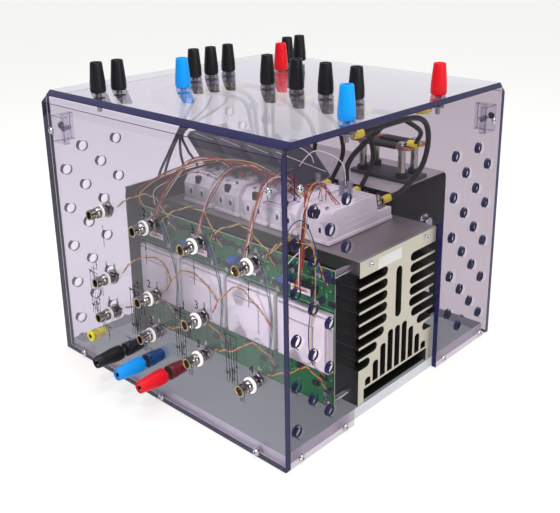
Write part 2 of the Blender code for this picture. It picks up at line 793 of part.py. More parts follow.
# Devices on the heatsink
def device_edges():
    """Left and right faces of the rectifier and the transistor modules."""
    left = sink_left + SINK_LEFT_MARGIN
    edges = [("rectifier_module", left, left + RECTIFIER_WIDTH)]
    left += RECTIFIER_WIDTH + RECTIFIER_GAP
    for index in range(DEVICE_COUNT):
        edges.append((f"transistor_module_{index + 1}", left, left + MODULE_WIDTH))
        left += MODULE_WIDTH + MODULE_GAP
    return edges


def module_stud_places(left, right):
    """The two rear studs of a module."""
    middle = (left + right) / 2
    y = sink_y + MODULE_LENGTH / 2 - STUD_END_INSET
    return [(middle - STUD_SPACING / 2, y), (middle + STUD_SPACING / 2, y)]


def make_devices():
    for name, left, right in device_edges():
        front, rear = sink_y - MODULE_LENGTH / 2, sink_y + MODULE_LENGTH / 2
        base = box((left, front, device_base), (right, rear, device_base + MODULE_FLANGE))
        low = device_base + MODULE_FLANGE - OVERRUN
        step = rear - MODULE_STEP_LENGTH
        near, far = front + MODULE_INSET, rear - MODULE_INSET
        outline = [(near, low), (far, low), (far, step_top), (step, step_top),
                   (step - MODULE_NOSE / 2, device_top), (near + MODULE_NOSE, device_top),
                   (near, device_top - MODULE_NOSE)]
        body = prism("X", left + MODULE_INSET, right - MODULE_INSET, outline)
        combine(base, [body], "UNION")
        studs = [rod((x, y, step_top - OVERRUN), (x, y, step_top + STUD_HEIGHT), STUD_RADIUS)
                 for x, y in module_stud_places(left, right)]
        combine(base, studs, "UNION")
        keep(base, name, WHITE)


# Slanted snubbers, each on two legs over a device
def make_snubbers():
    edges = device_edges()
    first_middle = (edges[1][1] + edges[1][2]) / 2
    tilt = radians(SNUBBER_ANGLE)
    across = Vector((-cos(tilt), 0, sin(tilt)))
    inward = Vector((-sin(tilt), 0, -cos(tilt)))
    for index in range(DEVICE_COUNT):
        foot_x = first_middle + (index - 1) * (MODULE_WIDTH + MODULE_GAP)
        y = sink_y - SNUBBER_FORWARD
        low = Vector((foot_x + SNUBBER_THICKNESS / 2, y,
                      device_top + SNUBBER_RISE + SNUBBER_THICKNESS * SNUBBER_LIFT_SHARE))
        corners = [low, low + across * SNUBBER_SLANT,
                   low + across * SNUBBER_SLANT + inward * SNUBBER_THICKNESS,
                   low + inward * SNUBBER_THICKNESS]
        slab = prism("Y", y - SNUBBER_LENGTH / 2, y + SNUBBER_LENGTH / 2,
                     [(corner.x, corner.z) for corner in corners])
        legs = []
        for side in (-1, 1):
            middle = y + side * SNUBBER_LENGTH * SNUBBER_LEG_SPREAD_SHARE
            leg_x = corners[3].x + SNUBBER_THICKNESS * SNUBBER_LEG_IN_SHARE
            legs.append(box((leg_x, middle - SNUBBER_LEG_WIDTH / 2, device_top + FIT),
                            (leg_x + SNUBBER_LEG_THICKNESS, middle + SNUBBER_LEG_WIDTH / 2,
                             corners[3].z + SNUBBER_THICKNESS * SNUBBER_LEG_TOP_SHARE)))
        combine(slab, legs, "UNION")
        keep(slab, f"snubber_capacitor_{index + 1}", GREY)


# Fan
def make_fan():
    half = FAN_SIZE / 2
    bore = half - FAN_BORE_WALL
    corner = half - FAN_CORNER
    holes = [circle(sink_y, fan_z, bore, BODY_SIDES)]
    holes += [circle(sink_y + a * corner, fan_z + b * corner, FAN_SCREW_RADIUS, VENT_SIDES)
              for a in (-1, 1) for b in (-1, 1)]
    outline = rounded(sink_y - half, fan_z - half, sink_y + half, fan_z + half, FAN_CORNER)
    frame = prism("X", fan_left, fan_right, outline, holes)
    mount = rod((fan_left, sink_y, fan_z), (fan_left + FAN_MOUNT_THICKNESS, sink_y, fan_z),
                FAN_HUB_RADIUS, BODY_SIDES)
    combine(frame, [strut(index) for index in range(FAN_STRUTS)], "UNION")
    combine(frame, [mount], "UNION")
    keep(frame, "fan_frame", DARK_PLASTIC)

    hub_left = fan_left + FAN_MOUNT_THICKNESS + FIT
    hub_right = fan_right - FAN_TIP_ROOM
    rotor = rod((hub_left, sink_y, fan_z), (hub_right, sink_y, fan_z),
                FAN_HUB_RADIUS, BODY_SIDES)
    span = bore - FAN_TIP_ROOM
    chord = (hub_right - hub_left - FAN_TIP_ROOM) * BLADE_LENGTH_SHARE
    blades = []
    for index in range(FAN_BLADES):
        blade = box((-chord / 2, -FAN_BLADE_THICKNESS / 2, FAN_HUB_RADIUS - OVERRUN),
                    (chord / 2, FAN_BLADE_THICKNESS / 2, span - FAN_TIP_ROOM))
        turn = Matrix.Rotation(2 * pi * index / FAN_BLADES, 4, "X")
        twist = Matrix.Rotation(radians(FAN_BLADE_ANGLE), 4, "Z")
        place = Matrix.Translation(((hub_left + hub_right) / 2, sink_y, fan_z))
        blade.matrix_world = place @ turn @ twist @ Matrix.Translation(blade.location)
        blades.append(blade)
    combine(rotor, blades, "UNION")
    keep(rotor, "fan_rotor", DARK_PLASTIC)


def strut(index):
    """One arm from the fan's wall to its motor mount."""
    bore = FAN_SIZE / 2 - FAN_BORE_WALL
    arm = box((0, -FAN_STRUT_WIDTH / 2, FAN_HUB_RADIUS - OVERRUN),
              (FAN_MOUNT_THICKNESS, FAN_STRUT_WIDTH / 2, bore + OVERRUN))
    turn = Matrix.Rotation(2 * pi * (index + 1 / 2) / FAN_STRUTS, 4, "X")
    place = Matrix.Translation((fan_left, sink_y, fan_z))
    arm.matrix_world = place @ turn @ Matrix.Translation(arm.location)
    return arm


# Plate between the fan and the heatsink
def make_bulkhead():
    outline = rounded(sink_front - BULKHEAD_FRONT, sink_base, cover_rear, cover_top + BULKHEAD_RISE,
                      BULKHEAD_CORNER)
    holes = [circle(sink_y, fan_z, FAN_SIZE / 2 - FAN_BORE_WALL, BODY_SIDES)]
    plate = prism("X", bulkhead_left, bulkhead_right, outline, holes)
    return keep(plate, "fan_bulkhead", BLACK_STEEL)


# Link capacitors under their bent cover
def make_capacitors():
    right = cover_right - COVER_SHEET - FIT
    left = right - CAPACITOR_LENGTH
    for name, z in (("link_capacitor_lower", lower_capacitor_z),
                    ("link_capacitor_upper", upper_capacitor_z)):
        can = rod((left, cover_y, z), (right - CAPACITOR_RIM, cover_y, z),
                  capacitor_radius, BODY_SIDES)
        neck = rod((right - CAPACITOR_RIM - OVERRUN, cover_y, z), (right, cover_y, z),
                   capacitor_radius - CAPACITOR_RIM, BODY_SIDES)
        stud = rod((right - OVERRUN, cover_y, z),
                   (cover_right + CAPACITOR_STUD_LENGTH - SINK_END_ROOM, cover_y, z),
                   CAPACITOR_STUD_RADIUS)
        nut = rod((cover_right + FIT, cover_y, z),
                  (cover_right + FIT + CAPACITOR_NUT_HEIGHT, cover_y, z),
                  CAPACITOR_NUT_RADIUS, 6)
        combine(can, [neck], "UNION")
        combine(can, [stud], "UNION")
        combine(can, [nut], "UNION")
        saddle_low = z - capacitor_radius - CAPACITOR_FOOT
        saddles = [box((x, cover_y - capacitor_radius / 2, saddle_low),
                       (x + CAPACITOR_SADDLE_WIDTH, cover_y + capacitor_radius / 2, z))
                   for x in (left + CAPACITOR_SADDLE_INSET,
                             right - CAPACITOR_SADDLE_INSET - CAPACITOR_SADDLE_WIDTH)]
        combine(can, saddles, "UNION")
        keep(can, name, CAN)


def make_cover():
    low, high = sink_base, cover_top
    inner_bend = COVER_BEND - COVER_SHEET
    outline = [(sink_left, high)]
    middle_x, middle_z = cover_right - COVER_BEND, high - COVER_BEND
    for a in (90, 60, 30, 0):
        outline.append((middle_x + COVER_BEND * cos(radians(a)),
                        middle_z + COVER_BEND * sin(radians(a))))
    outline += [(cover_right, low), (cover_right - COVER_SHEET, low)]
    for a in (0, 30, 60, 90):
        outline.append((middle_x + inner_bend * cos(radians(a)),
                        middle_z + inner_bend * sin(radians(a))))
    outline.append((sink_left, high - COVER_SHEET))
    cover = prism("Y", cover_front, cover_rear, outline)
    bores = [rod((cover_right - COVER_SHEET - OVERRUN, cover_y, z),
                 (cover_right + OVERRUN, cover_y, z), CAPACITOR_STUD_RADIUS + 2 * FIT)
             for z in (lower_capacitor_z, upper_capacitor_z)]
    combine(cover, bores, "DIFFERENCE")
    return keep(cover, "capacitor_cover", BLACK_STEEL)


# Two link bars on posts, held by one insulating strip
def make_link_bars():
    right = cover_right - LINK_RIGHT_INSET
    left = right - LINK_BAR_LENGTH
    low = cover_top + FIT
    strip_top = low + LINK_STRIP_THICKNESS
    bar_low = strip_top + LINK_BAR_RISE
    half = LINK_BAR_WIDTH / 2
    strip = box((left, cover_y - LINK_BAR_SPACING / 2 - half, low),
                (right, cover_y + LINK_BAR_SPACING / 2 + half, strip_top))
    posts, bars = [], []
    for side in (-1, 1):
        y = cover_y + side * LINK_BAR_SPACING / 2
        for x in (left + LINK_BAR_WIDTH, right - LINK_BAR_WIDTH):
            posts.append(rod((x, y, strip_top - OVERRUN), (x, y, bar_low + OVERRUN),
                             LINK_POST_RADIUS))
        bars.append(box((left, y - half, bar_low), (right, y + half, bar_low + LINK_BAR_THICKNESS)))
    combine(strip, posts, "UNION")
    combine(strip, bars, "UNION")
    return keep(strip, "link_bar_set", COPPER)


# Driver board
def make_board():
    low = BASE_THICKNESS + BOARD_BOTTOM
    high = sink_top + BOARD_RISE
    board = box((sink_left, board_front, low), (board_right, board_rear, high))
    spacers = []
    for x in (sink_left + SPACER_INSET, board_right - SPACER_INSET):
        for z in (sink_base + SPACER_INSET * 2, sink_top - SPACER_INSET):
            spacers.append(rod((x, board_rear - OVERRUN / 2, z), (x, sink_front - FIT, z),
                               SPACER_RADIUS))
    header_low = low + DRIVER_BOTTOM + DRIVER_HEIGHT + HEADER_RISE
    headers = [box((channel_x(index) - HEADER_WIDTH / 2, board_front - HEADER_DEPTH, header_low),
                   (channel_x(index) + HEADER_WIDTH / 2, board_front + OVERRUN / 2,
                    header_low + HEADER_HEIGHT)) for index in range(DEVICE_COUNT)]
    combine(board, spacers, "UNION")
    combine(board, headers, "UNION")
    return keep(board, "driver_board", BOARD)


def make_drivers():
    low = BASE_THICKNESS + BOARD_BOTTOM + DRIVER_BOTTOM
    width = channel_pitch - 2 * DRIVER_MARGIN
    back = board_front - FIT
    front = back - DRIVER_THICKNESS
    for index in range(DEVICE_COUNT):
        x = channel_x(index)
        block = box((x - width / 2, front, low), (x + width / 2, back, low + DRIVER_HEIGHT))
        reach = width * RAISED_WIDTH_SHARE / 2
        margin = DRIVER_HEIGHT * RAISED_MARGIN_SHARE
        raised = box((x - reach, front - DRIVER_RAISED, low + margin),
                     (x + reach, front + OVERRUN, low + DRIVER_HEIGHT - margin))
        combine(block, [raised], "UNION")
        keep(block, f"driver_module_{index + 1}", WHITE)


# Coaxial sockets
def make_coax():
    back = -SHEET - FIT
    profile = [
        (0, COAX_REACH - COAX_MOUTH_DEPTH), (COAX_MOUTH_RADIUS, COAX_REACH - COAX_MOUTH_DEPTH),
        (COAX_MOUTH_RADIUS, COAX_REACH), (COAX_RADIUS, COAX_REACH),
        (COAX_RADIUS, FIT + COAX_RING_HEIGHT), (COAX_RING_RADIUS, FIT + COAX_RING_HEIGHT),
        (COAX_RING_RADIUS, FIT), (COAX_THREAD_RADIUS, FIT),
        (COAX_THREAD_RADIUS, back), (COAX_NUT_RADIUS, back),
        (COAX_NUT_RADIUS, back - COAX_NUT_HEIGHT), (COAX_TAIL_RADIUS, back - COAX_NUT_HEIGHT),
        (COAX_TAIL_RADIUS, back - COAX_NUT_HEIGHT - COAX_TAIL_LENGTH),
        (0, back - COAX_NUT_HEIGHT - COAX_TAIL_LENGTH)]
    for name, x, z in coax_places():
        socket = face_front(turned(profile, COAX_SIDES))
        socket.location = (x, FRONT_Y, z)
        keep(socket, name, NICKEL)


def make_jack():
    lip = FIT + JACK_FLANGE_HEIGHT
    jack = face_front(turned([
        (0, lip - JACK_BORE_DEPTH), (JACK_BORE_RADIUS, lip - JACK_BORE_DEPTH),
        (JACK_BORE_RADIUS, lip), (JACK_FLANGE_RADIUS, lip), (JACK_FLANGE_RADIUS, FIT),
        (JACK_BODY_RADIUS, FIT), (JACK_BODY_RADIUS, -JACK_DEPTH), (0, -JACK_DEPTH)], ROUND_SIDES))
    jack.location = (JACK_SHARE * RIGHT_X, FRONT_Y, terminal_z())
    return keep(jack, "yellow_socket", YELLOW)


# Heavy cables with a ring lug at each end
def smooth(route, count):
    """Points on a smooth curve through a route, evenly spread by segment."""
    points = [Vector(p) for p in route]
    ends = [2 * points[0] - points[1]] + points + [2 * points[-1] - points[-2]]
    spans = len(points) - 1
    path = []
    for step in range(count):
        place = step * spans / (count - 1)
        index = min(int(place), spans - 1)
        t = place - index
        a, b, c, d = ends[index:index + 4]
        path.append((2 * b + (c - a) * t + (2 * a - 5 * b + 4 * c - d) * t ** 2
                     + (3 * b - a - 3 * c + d) * t ** 3) / 2)
    return path


def tube(path, radius):
    """A round tube along a path."""
    curve = bpy.data.curves.new("tube", "CURVE")
    curve.dimensions = "3D"
    curve.bevel_depth = radius
    curve.bevel_resolution = 2
    curve.use_fill_caps = True
    spline = curve.splines.new("POLY")
    spline.points.add(len(path) - 1)
    for point, place in zip(spline.points, path):
        point.co = (*place, 1)
    obj = bpy.data.objects.new("tube", curve)
    bpy.context.scene.collection.objects.link(obj)
    return solid_from_curve(obj)


def add_lug(cable, stud, end):
    """A ring tongue round a stud and the barrel that grips the cable's end."""
    flat = Vector((end.x - stud.x, end.y - stud.y, 0)).normalized()
    low = stud.z
    tongue_top = low + LUG_TONGUE_THICKNESS
    start = Vector((stud.x, stud.y, end.z)) + flat * LUG_REACH
    barrel = rod(start, start + flat * LUG_BARREL_LENGTH, LUG_BARREL_RADIUS)
    ring = rod((stud.x, stud.y, low), (stud.x, stud.y, tongue_top), LUG_TONGUE_RADIUS)
    neck = box((0, -LUG_TONGUE_WIDTH / 2, low),
               (LUG_REACH + OVERRUN, LUG_TONGUE_WIDTH / 2, tongue_top))
    turn = Matrix.Rotation(atan2(flat.y, flat.x), 4, "Z")
    neck.matrix_world = (Matrix.Translation((stud.x, stud.y, 0)) @ turn
                         @ Matrix.Translation(neck.location))
    hole = rod((stud.x, stud.y, low - OVERRUN), (stud.x, stud.y, tongue_top + OVERRUN),
               STUD_RADIUS + FIT)
    combine(cable, [barrel], "UNION")
    combine(cable, [neck], "UNION")
    combine(cable, [ring], "UNION")
    combine(cable, [hole], "DIFFERENCE")


def link_tail(name):
    """The tail of one top terminal, at the lower face of the lug on it."""
    places = {known: top_place(x_share, y_share)
              for known, colour, x_share, y_share in TOP_TERMINAL_SHARES}
    x, y, top = places[name]
    return Vector((x, y, INNER_TOP - POST_NUT_HEIGHT - FIT - LUG_TONGUE_THICKNESS))


def lug_end(stud, angle, height):
    """The point where a cable meets its lug, a lead away from the stud."""
    return Vector((stud[0] + LUG_LEAD * cos(radians(angle)),
                   stud[1] + LUG_LEAD * sin(radians(angle)), height))


def make_cables():
    chopper = device_edges()[DEVICE_COUNT]
    studs = module_stud_places(chopper[1], chopper[2])
    for name, which, lower_angle, terminal, upper_angle, shares in LINK_CABLES:
        stud = Vector((*studs[which], step_top + FIT))
        tail = link_tail(terminal)
        start = lug_end(stud, lower_angle, step_top + LUG_LIFT)
        end = lug_end(tail, upper_angle, INNER_TOP - LUG_DROP)
        across = end - start
        route = [start, *(start + Vector(share) * across for share in shares), end]
        path = smooth(route, CABLE_POINTS)
        cable = tube(path, CABLE_RADIUS)
        add_lug(cable, stud, path[0])
        add_lug(cable, tail, path[-1])
        keep(cable, name, CABLE_BLACK)


make_base()
make_front_panel()
make_rear_panel()
make_top_panel()
make_side_panel("left_side_panel", LEFT_X, INNER_LEFT)
make_side_panel("right_side_panel", RIGHT_X, INNER_RIGHT)
make_heatsink()
make_devices()
make_snubbers()
make_fan()
make_bulkhead()
make_capacitors()
make_cover()
make_link_bars()
make_board()
make_drivers()
make_coax()
make_jack()
make_caps()
make_cables()

for piece in pieces.objects:
    piece.data.shade_smooth()
    piece.data.set_sharp_from_angle(angle=radians(30))

print("case", round(case_width, 4), round(case_depth, 4), round(case_height, 4))
print("pieces", len(pieces.objects))
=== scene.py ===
# %% [markdown]
# # Power electronics trainer: the looks
# The object is a box of clear sheet round a fan-cooled stack of power modules.
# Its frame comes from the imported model. Each cell below dresses one part of it.
# Everything is in metres, with +X to the right along the front and +Z up.

import bpy
import bmesh
import json
import random
from math import cos, pi, radians, sin
from mathutils import Matrix, Vector


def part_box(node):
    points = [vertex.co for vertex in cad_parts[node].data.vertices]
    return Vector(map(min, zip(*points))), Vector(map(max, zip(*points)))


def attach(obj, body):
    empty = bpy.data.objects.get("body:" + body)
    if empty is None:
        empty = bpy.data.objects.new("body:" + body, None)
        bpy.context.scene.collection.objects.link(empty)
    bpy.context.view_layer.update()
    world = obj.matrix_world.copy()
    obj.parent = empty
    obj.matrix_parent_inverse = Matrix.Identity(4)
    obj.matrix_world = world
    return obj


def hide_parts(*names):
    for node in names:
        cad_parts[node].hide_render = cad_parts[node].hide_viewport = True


def place_object(name, data):
    """A new object with this data, in the scene."""
    obj = bpy.data.objects.new(name, data)
    bpy.context.scene.collection.objects.link(obj)
    return obj


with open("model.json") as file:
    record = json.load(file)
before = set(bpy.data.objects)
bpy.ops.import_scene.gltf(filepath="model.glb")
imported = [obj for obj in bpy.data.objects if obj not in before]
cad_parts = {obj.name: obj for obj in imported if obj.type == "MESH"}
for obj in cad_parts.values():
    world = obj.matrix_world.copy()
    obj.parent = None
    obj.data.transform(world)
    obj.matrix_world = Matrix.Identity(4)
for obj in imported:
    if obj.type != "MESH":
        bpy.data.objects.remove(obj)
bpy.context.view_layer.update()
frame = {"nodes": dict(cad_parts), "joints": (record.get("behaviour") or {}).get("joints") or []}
nodes = frame["nodes"]

# %% [markdown]
# ## The camera
# The photograph was taken from the right of the front, slightly above the lid.
# The view was solved from the box's corners: a place, three turns and a focal
# length in pixels. The lens is then the focal length over the picture's width.
# A small shift stands for the way the picture was cropped.

# %% Camera
PHOTO_WIDTH, PHOTO_HEIGHT = 560, 513
FOCAL_PIXELS = 806.64
AXIS_PIXEL = (286.67, 189.1)
SENSOR = 36.0
EYE = Vector((0.5215, -0.5352, 0.4094))
YAW, PITCH, ROLL = radians(-42.91), radians(-17.93), radians(-0.74)

ahead = Vector((sin(YAW) * cos(PITCH), cos(YAW) * cos(PITCH), sin(PITCH)))
level_right = Vector((cos(YAW), -sin(YAW), 0))
level_up = level_right.cross(ahead)
right = cos(ROLL) * level_right + sin(ROLL) * level_up
up = cos(ROLL) * level_up - sin(ROLL) * level_right
camera = place_object("camera", bpy.data.cameras.new("camera"))
turn = Matrix((right, up, -ahead)).transposed().to_4x4()
camera.matrix_world = Matrix.Translation(EYE) @ turn
camera.data.sensor_width = SENSOR
camera.data.lens = FOCAL_PIXELS / PHOTO_WIDTH * SENSOR
camera.data.shift_x = (PHOTO_WIDTH / 2 - AXIS_PIXEL[0]) / PHOTO_WIDTH
camera.data.shift_y = (AXIS_PIXEL[1] - PHOTO_HEIGHT / 2) / PHOTO_WIDTH
camera.data.clip_start = 0.01
bpy.context.scene.camera = camera
print("lens", round(camera.data.lens, 2), "mm")

# %% [markdown]
# ## Shader maths as Python expressions
# A material is a small program. Wiring Math nodes by hand hides what it says, so
# a socket is wrapped in a class that overloads the operators: adding two signals
# adds a Math node. One method makes every other node from its type, its
# settings and its sockets' values.

# %% Signals and finishes
class Signal:
    """A shader socket that can stand in an expression."""

    def __init__(self, finish, socket):
        self.finish = finish
        self.socket = socket

    def math(self, operation, *values):
        return self.finish.node("Math", dict(enumerate(values)), operation=operation)

    def __add__(self, other):
        return self.math("ADD", self, other)

    def __mul__(self, other):
        return self.math("MULTIPLY", self, other)

    def __sub__(self, other):
        return self.math("SUBTRACT", self, other)

    def __rsub__(self, other):
        return self.math("SUBTRACT", other, self)

    def __gt__(self, other):
        return self.math("GREATER_THAN", self, other)

    def __lt__(self, other):
        return self.math("LESS_THAN", self, other)

    def __pow__(self, other):
        return self.math("POWER", self, other)

    __radd__ = __add__
    __rmul__ = __mul__


class Finish:
    """A material whose nodes are made by one method."""

    def __init__(self, name, **fixed):
        self.material = bpy.data.materials.new(name)
        self.material.use_nodes = True
        self.tree = self.material.node_tree
        self.shader = self.tree.nodes["Principled BSDF"]
        self.output = self.tree.nodes["Material Output"]
        for label, value in fixed.items():
            self.put(self.shader.inputs[label.replace("_", " ")], value)

    def put(self, socket, value):
        if isinstance(value, Signal):
            self.tree.links.new(value.socket, socket)
        elif isinstance(value, tuple) and len(value) == 3 and len(socket.default_value) == 4:
            socket.default_value = (*value, 1.0)
        else:
            socket.default_value = value

    def node(self, kind, inputs=None, output=0, **settings):
        """One node with its settings and inputs. It returns the named output."""
        made = self.tree.nodes.new("ShaderNode" + kind)
        for label, value in settings.items():
            setattr(made, label, value)
        for label, value in (inputs or {}).items():
            self.put(made.inputs[label], value)
        return Signal(self, made.outputs[output])

    def show(self, share, first, second):
        """Put a mix of two shaders on the surface."""
        mixed = self.node("MixShader", {0: share, 1: first, 2: second})
        self.put(self.output.inputs["Surface"], mixed)

    def place(self, scale=(1, 1, 1)):
        spot = self.node("TexCoord", output="Object")
        return self.node("Mapping", {"Vector": spot, "Scale": scale})

    def axis(self, vector, index):
        """One of a vector's three numbers."""
        return self.node("SeparateXYZ", {0: vector}, index)

    def noise(self, scale, detail=3.0, stretch=(1, 1, 1)):
        return self.node("TexNoise", {"Vector": self.place(stretch), "Scale": scale, "Detail": detail})

    def blend(self, share, first, second):
        return self.node("Mix", {0: share, 6: first, 7: second}, 2, data_type="RGBA")

    def bump(self, height, distance, strength=0.5):
        return self.node("Bump", {"Height": height, "Distance": distance, "Strength": strength})

    def wear(self, **varying):
        for label, value in varying.items():
            self.put(self.shader.inputs[label.replace("_", " ")], value)
        return self.material


def set_stops(ramp, stops):
    """Give a colour ramp its stops, as pairs of a place and a colour."""
    while len(ramp.elements) < len(stops):
        ramp.elements.new(0.5)
    for element, (place, colour) in zip(ramp.elements, stops):
        element.position = place
        element.color = (*colour, 1.0)


def shade(colour, factor):
    return tuple(channel * factor for channel in colour)


# %% [markdown]
# ## Moulded, painted and plated surfaces
# Most of the pieces inside are moulded plastic or plated metal. What tells them
# apart up close is grain: plastic has a slight mottle and a fine orange peel,
# while drawn metal has streaks along its length. Two functions cover both.

# %% Plastic and metal
SKIN_DEPTH, STREAK_DEPTH, PATCHINESS = 0.00004, 0.00003, 0.15


def plastic(name, colour, roughness=0.42, mottle=0.12, grain=2600.0, gloss=0.5):
    """Moulded plastic: a faint mottle, fine skin texture and handled patches."""
    made = Finish(name, Specular_IOR_Level=gloss)
    cloud = made.noise(55.0, 4.0)
    skin = made.noise(grain, 2.0)
    tint = made.blend(cloud, shade(colour, 1 - mottle), shade(colour, 1 + mottle))
    return made.wear(Base_Color=tint, Roughness=roughness + (cloud - 0.5) * 0.22,
                     Normal=made.bump(skin, SKIN_DEPTH))


def metal(name, colour, roughness=0.25, scale=300.0, mottle=0.15):
    """Plated or bare metal with streaks and dull patches."""
    made = Finish(name)
    lines = made.noise(scale, 4.0)
    patch = made.noise(38.0, 3.0)
    tint = made.blend(lines * 0.6 + patch * 0.4, shade(colour, 1 - mottle), shade(colour, 1 + mottle))
    return made.wear(Base_Color=tint, Metallic=1.0 - patch * 0.04,
                     Roughness=roughness + (patch - 0.5) * PATCHINESS + (lines - 0.5) * PATCHINESS,
                     Normal=made.bump(lines, STREAK_DEPTH, 0.35))


NICKEL = metal("nickel_plate", (0.38, 0.365, 0.335), 0.09, scale=500.0)
STEEL = metal("screw_steel", (0.52, 0.53, 0.56), 0.22, scale=700.0)
GOLD = metal("contact_gold", (0.34, 0.23, 0.09), 0.3)
COPPER = metal("tarnished_copper", (0.5, 0.26, 0.15), 0.36, scale=120.0, mottle=0.35)
WHITE = plastic("module_white", (0.88, 0.86, 0.86), 0.36, 0.05)
DRIVER_WHITE = plastic("driver_white", (0.93, 0.91, 0.91), 0.34, 0.04)
# Painted shade: a grey for the thin rows at the foot of the driver steps.
STEP_SHADE = plastic("seam_grey", (0.3, 0.29, 0.32), 0.5, 0.08)
RING_WHITE = plastic("washer_white", (0.88, 0.87, 0.86), 0.35, 0.04)
LABEL = plastic("module_label", (0.7, 0.69, 0.68), 0.55, 0.08)
CAP_BLACK = plastic("cap_black", (0.012, 0.012, 0.014), 0.36, 0.25, 1800.0, gloss=0.22)
CAP_BLUE = plastic("cap_blue", (0.003, 0.34, 0.95), 0.38, 0.08, 1800.0, gloss=0.22)
CAP_RED = plastic("cap_red", (0.78, 0.006, 0.016), 0.38, 0.08, 1800.0, gloss=0.22)
YELLOW = plastic("lug_yellow", (0.86, 0.7, 0.05), 0.36, 0.1)
JACK_YELLOW = plastic("socket_yellow", (0.92, 0.82, 0.02), 0.33, 0.08, gloss=0.3)
CABLE = plastic("cable_black", (0.014, 0.014, 0.016), 0.4, 0.3, 900.0, gloss=0.25)
SLEEVE = plastic("shrink_sleeve", (0.018, 0.017, 0.018), 0.52, 0.3, 1400.0, gloss=0.2)
FAN_BLACK = plastic("fan_black", (0.02, 0.02, 0.022), 0.5, 0.25, 1500.0, gloss=0.2)
SNUBBER = plastic("snubber_grey", (0.055, 0.058, 0.068), 0.48, 0.16, 1500.0, gloss=0.3)
POTTING = plastic("potting_resin", (0.16, 0.12, 0.06), 0.55, 0.3, 700.0)
CHIP = plastic("chip_black", (0.018, 0.018, 0.02), 0.55, 0.2, 3000.0, gloss=0.3)
RELAY_BLUE = plastic("trimmer_blue", (0.02, 0.1, 0.42), 0.38, 0.1)
CAN = plastic("capacitor_sleeve", (0.03, 0.04, 0.085), 0.3, 0.15, 600.0, gloss=0.4)
WIRE = {"red": plastic("wire_red", (0.36, 0.01, 0.02), 0.4),
        "orange": plastic("wire_orange", (0.46, 0.12, 0.018), 0.4),
        "yellow": plastic("wire_yellow", (0.66, 0.46, 0.1), 0.4),
        "white": plastic("wire_white", (0.86, 0.84, 0.81), 0.4),
        "brown": plastic("wire_brown", (0.13, 0.022, 0.022), 0.42),
        "blue": plastic("wire_blue", (0.03, 0.06, 0.28), 0.4),
        "green": plastic("wire_green", (0.1, 0.22, 0.07), 0.42), }
print("plain finishes", len(bpy.data.materials))

# %% [markdown]
# ## Clear sheet
# Polished sheet does three things. It lets most light through with a lilac
# tint, it mirrors more and more as the view gets shallow, and handling leaves a
# faint haze. Glass that bends light would need many samples, and a thin flat
# sheet hardly bends it, so a Transparent shader is mixed with a Glossy one. The
# share of gloss is a curve of the slant: about one part in a hundred head on,
# all of it at a grazing view. A little of a plain shader stands for the haze.
# The cut edges gather light from the whole sheet and look deep indigo; that look is painted into their
# colour as painted shade, paled at a slant as a painted sheen.

# %% Clear sheet and its edges
SHEET_IOR = 1.58
SOFT_MIRROR = 0.2
HEAD_ON_GLOSS = SOFT_MIRROR * ((SHEET_IOR - 1) / (SHEET_IOR + 1)) ** 2
SHEET_TINT = (0.905, 0.885, 0.93)


def clear(name, tint, haze, head_on=HEAD_ON_GLOSS, steepness=6):
    """Clear sheet that mirrors at a slant, with haze and a few fine scratches."""
    made = Finish(name, Roughness=0.35)
    smudge = made.noise(14.0, 4.0)
    made.wear(Base_Color=made.blend(smudge, (0.6, 0.58, 0.68), (0.72, 0.7, 0.78)))
    through = made.node("BsdfTransparent", {"Color": tint})
    mirror = made.node("BsdfGlossy", {"Roughness": 0.02, "Color": (0.92, 0.91, 0.96)})
    slant = made.node("LayerWeight", {"Blend": 0.5}, "Facing")
    share = slant ** steepness * (1 - head_on) + head_on
    glass = made.node("MixShader", {0: share, 1: through, 2: mirror})
    scratch = made.noise(260.0, 2.0, (1, 1, 9)) > 0.72
    dust = haze * (smudge + 0.35) + scratch * (haze * 0.6)
    plain = Signal(made, made.shader.outputs[0])
    made.show(dust, glass, plain)
    return made.material


def cut_edge(name, deep, pale, clear_beyond=None):
    """The polished end of a sheet, with faint waves from the flame. Its colour is painted: dark for the
    light's path in the sheet, paler at a slant as a painted sheen. A vent's far wall is painted dark only in
    its deeper part, up to clear_beyond from the middle."""
    made = Finish(name, Specular_IOR_Level=0.22)
    waves = made.noise(70.0)
    fine = made.noise(900.0, 2.0)
    # Painted sheen: the edge colour turns paler as the view gets shallow.
    share = made.node("LayerWeight", {"Blend": 0.35}, "Facing")
    tint = made.blend(waves * 0.55 + share * 0.45, deep, pale)
    made.wear(Base_Color=tint, Roughness=0.16 + fine * 0.1, Normal=made.bump(waves, 0.0003, 0.25))
    if clear_beyond:
        spot = made.node("TexCoord", output="Object")
        across = made.axis(spot, 0)
        outer = across * across > clear_beyond * clear_beyond
        through = made.node("BsdfTransparent", {"Color": (0.99, 0.985, 1.0)})
        solid = Signal(made, made.shader.outputs[0])
        made.show(outer, solid, through)
    return made.material


CLEAR = clear("clear_sheet", SHEET_TINT, 0.004)
CLEAR_FRONT = clear("clear_front", (0.875, 0.85, 0.895), 0.006, 0.048, 5)
CLEAR_RIGHT = clear("clear_right", (0.86, 0.828, 0.868), 0.004, 0.004, 7)
CLEAR_REAR = clear("clear_rear", (0.8, 0.775, 0.8), 0.01)
CLEAR_TOP = clear("clear_lid", SHEET_TINT, 0.03, 0.05, 2.6)
# The base plate's darker tint is painted shadow, for the shade under the box.
SHADED_CLEAR_BASE = clear("clear_base", (0.57, 0.605, 0.615), 0.09)
EDGE = cut_edge("sheet_edge", (0.005, 0.004, 0.036), (0.03, 0.028, 0.115))
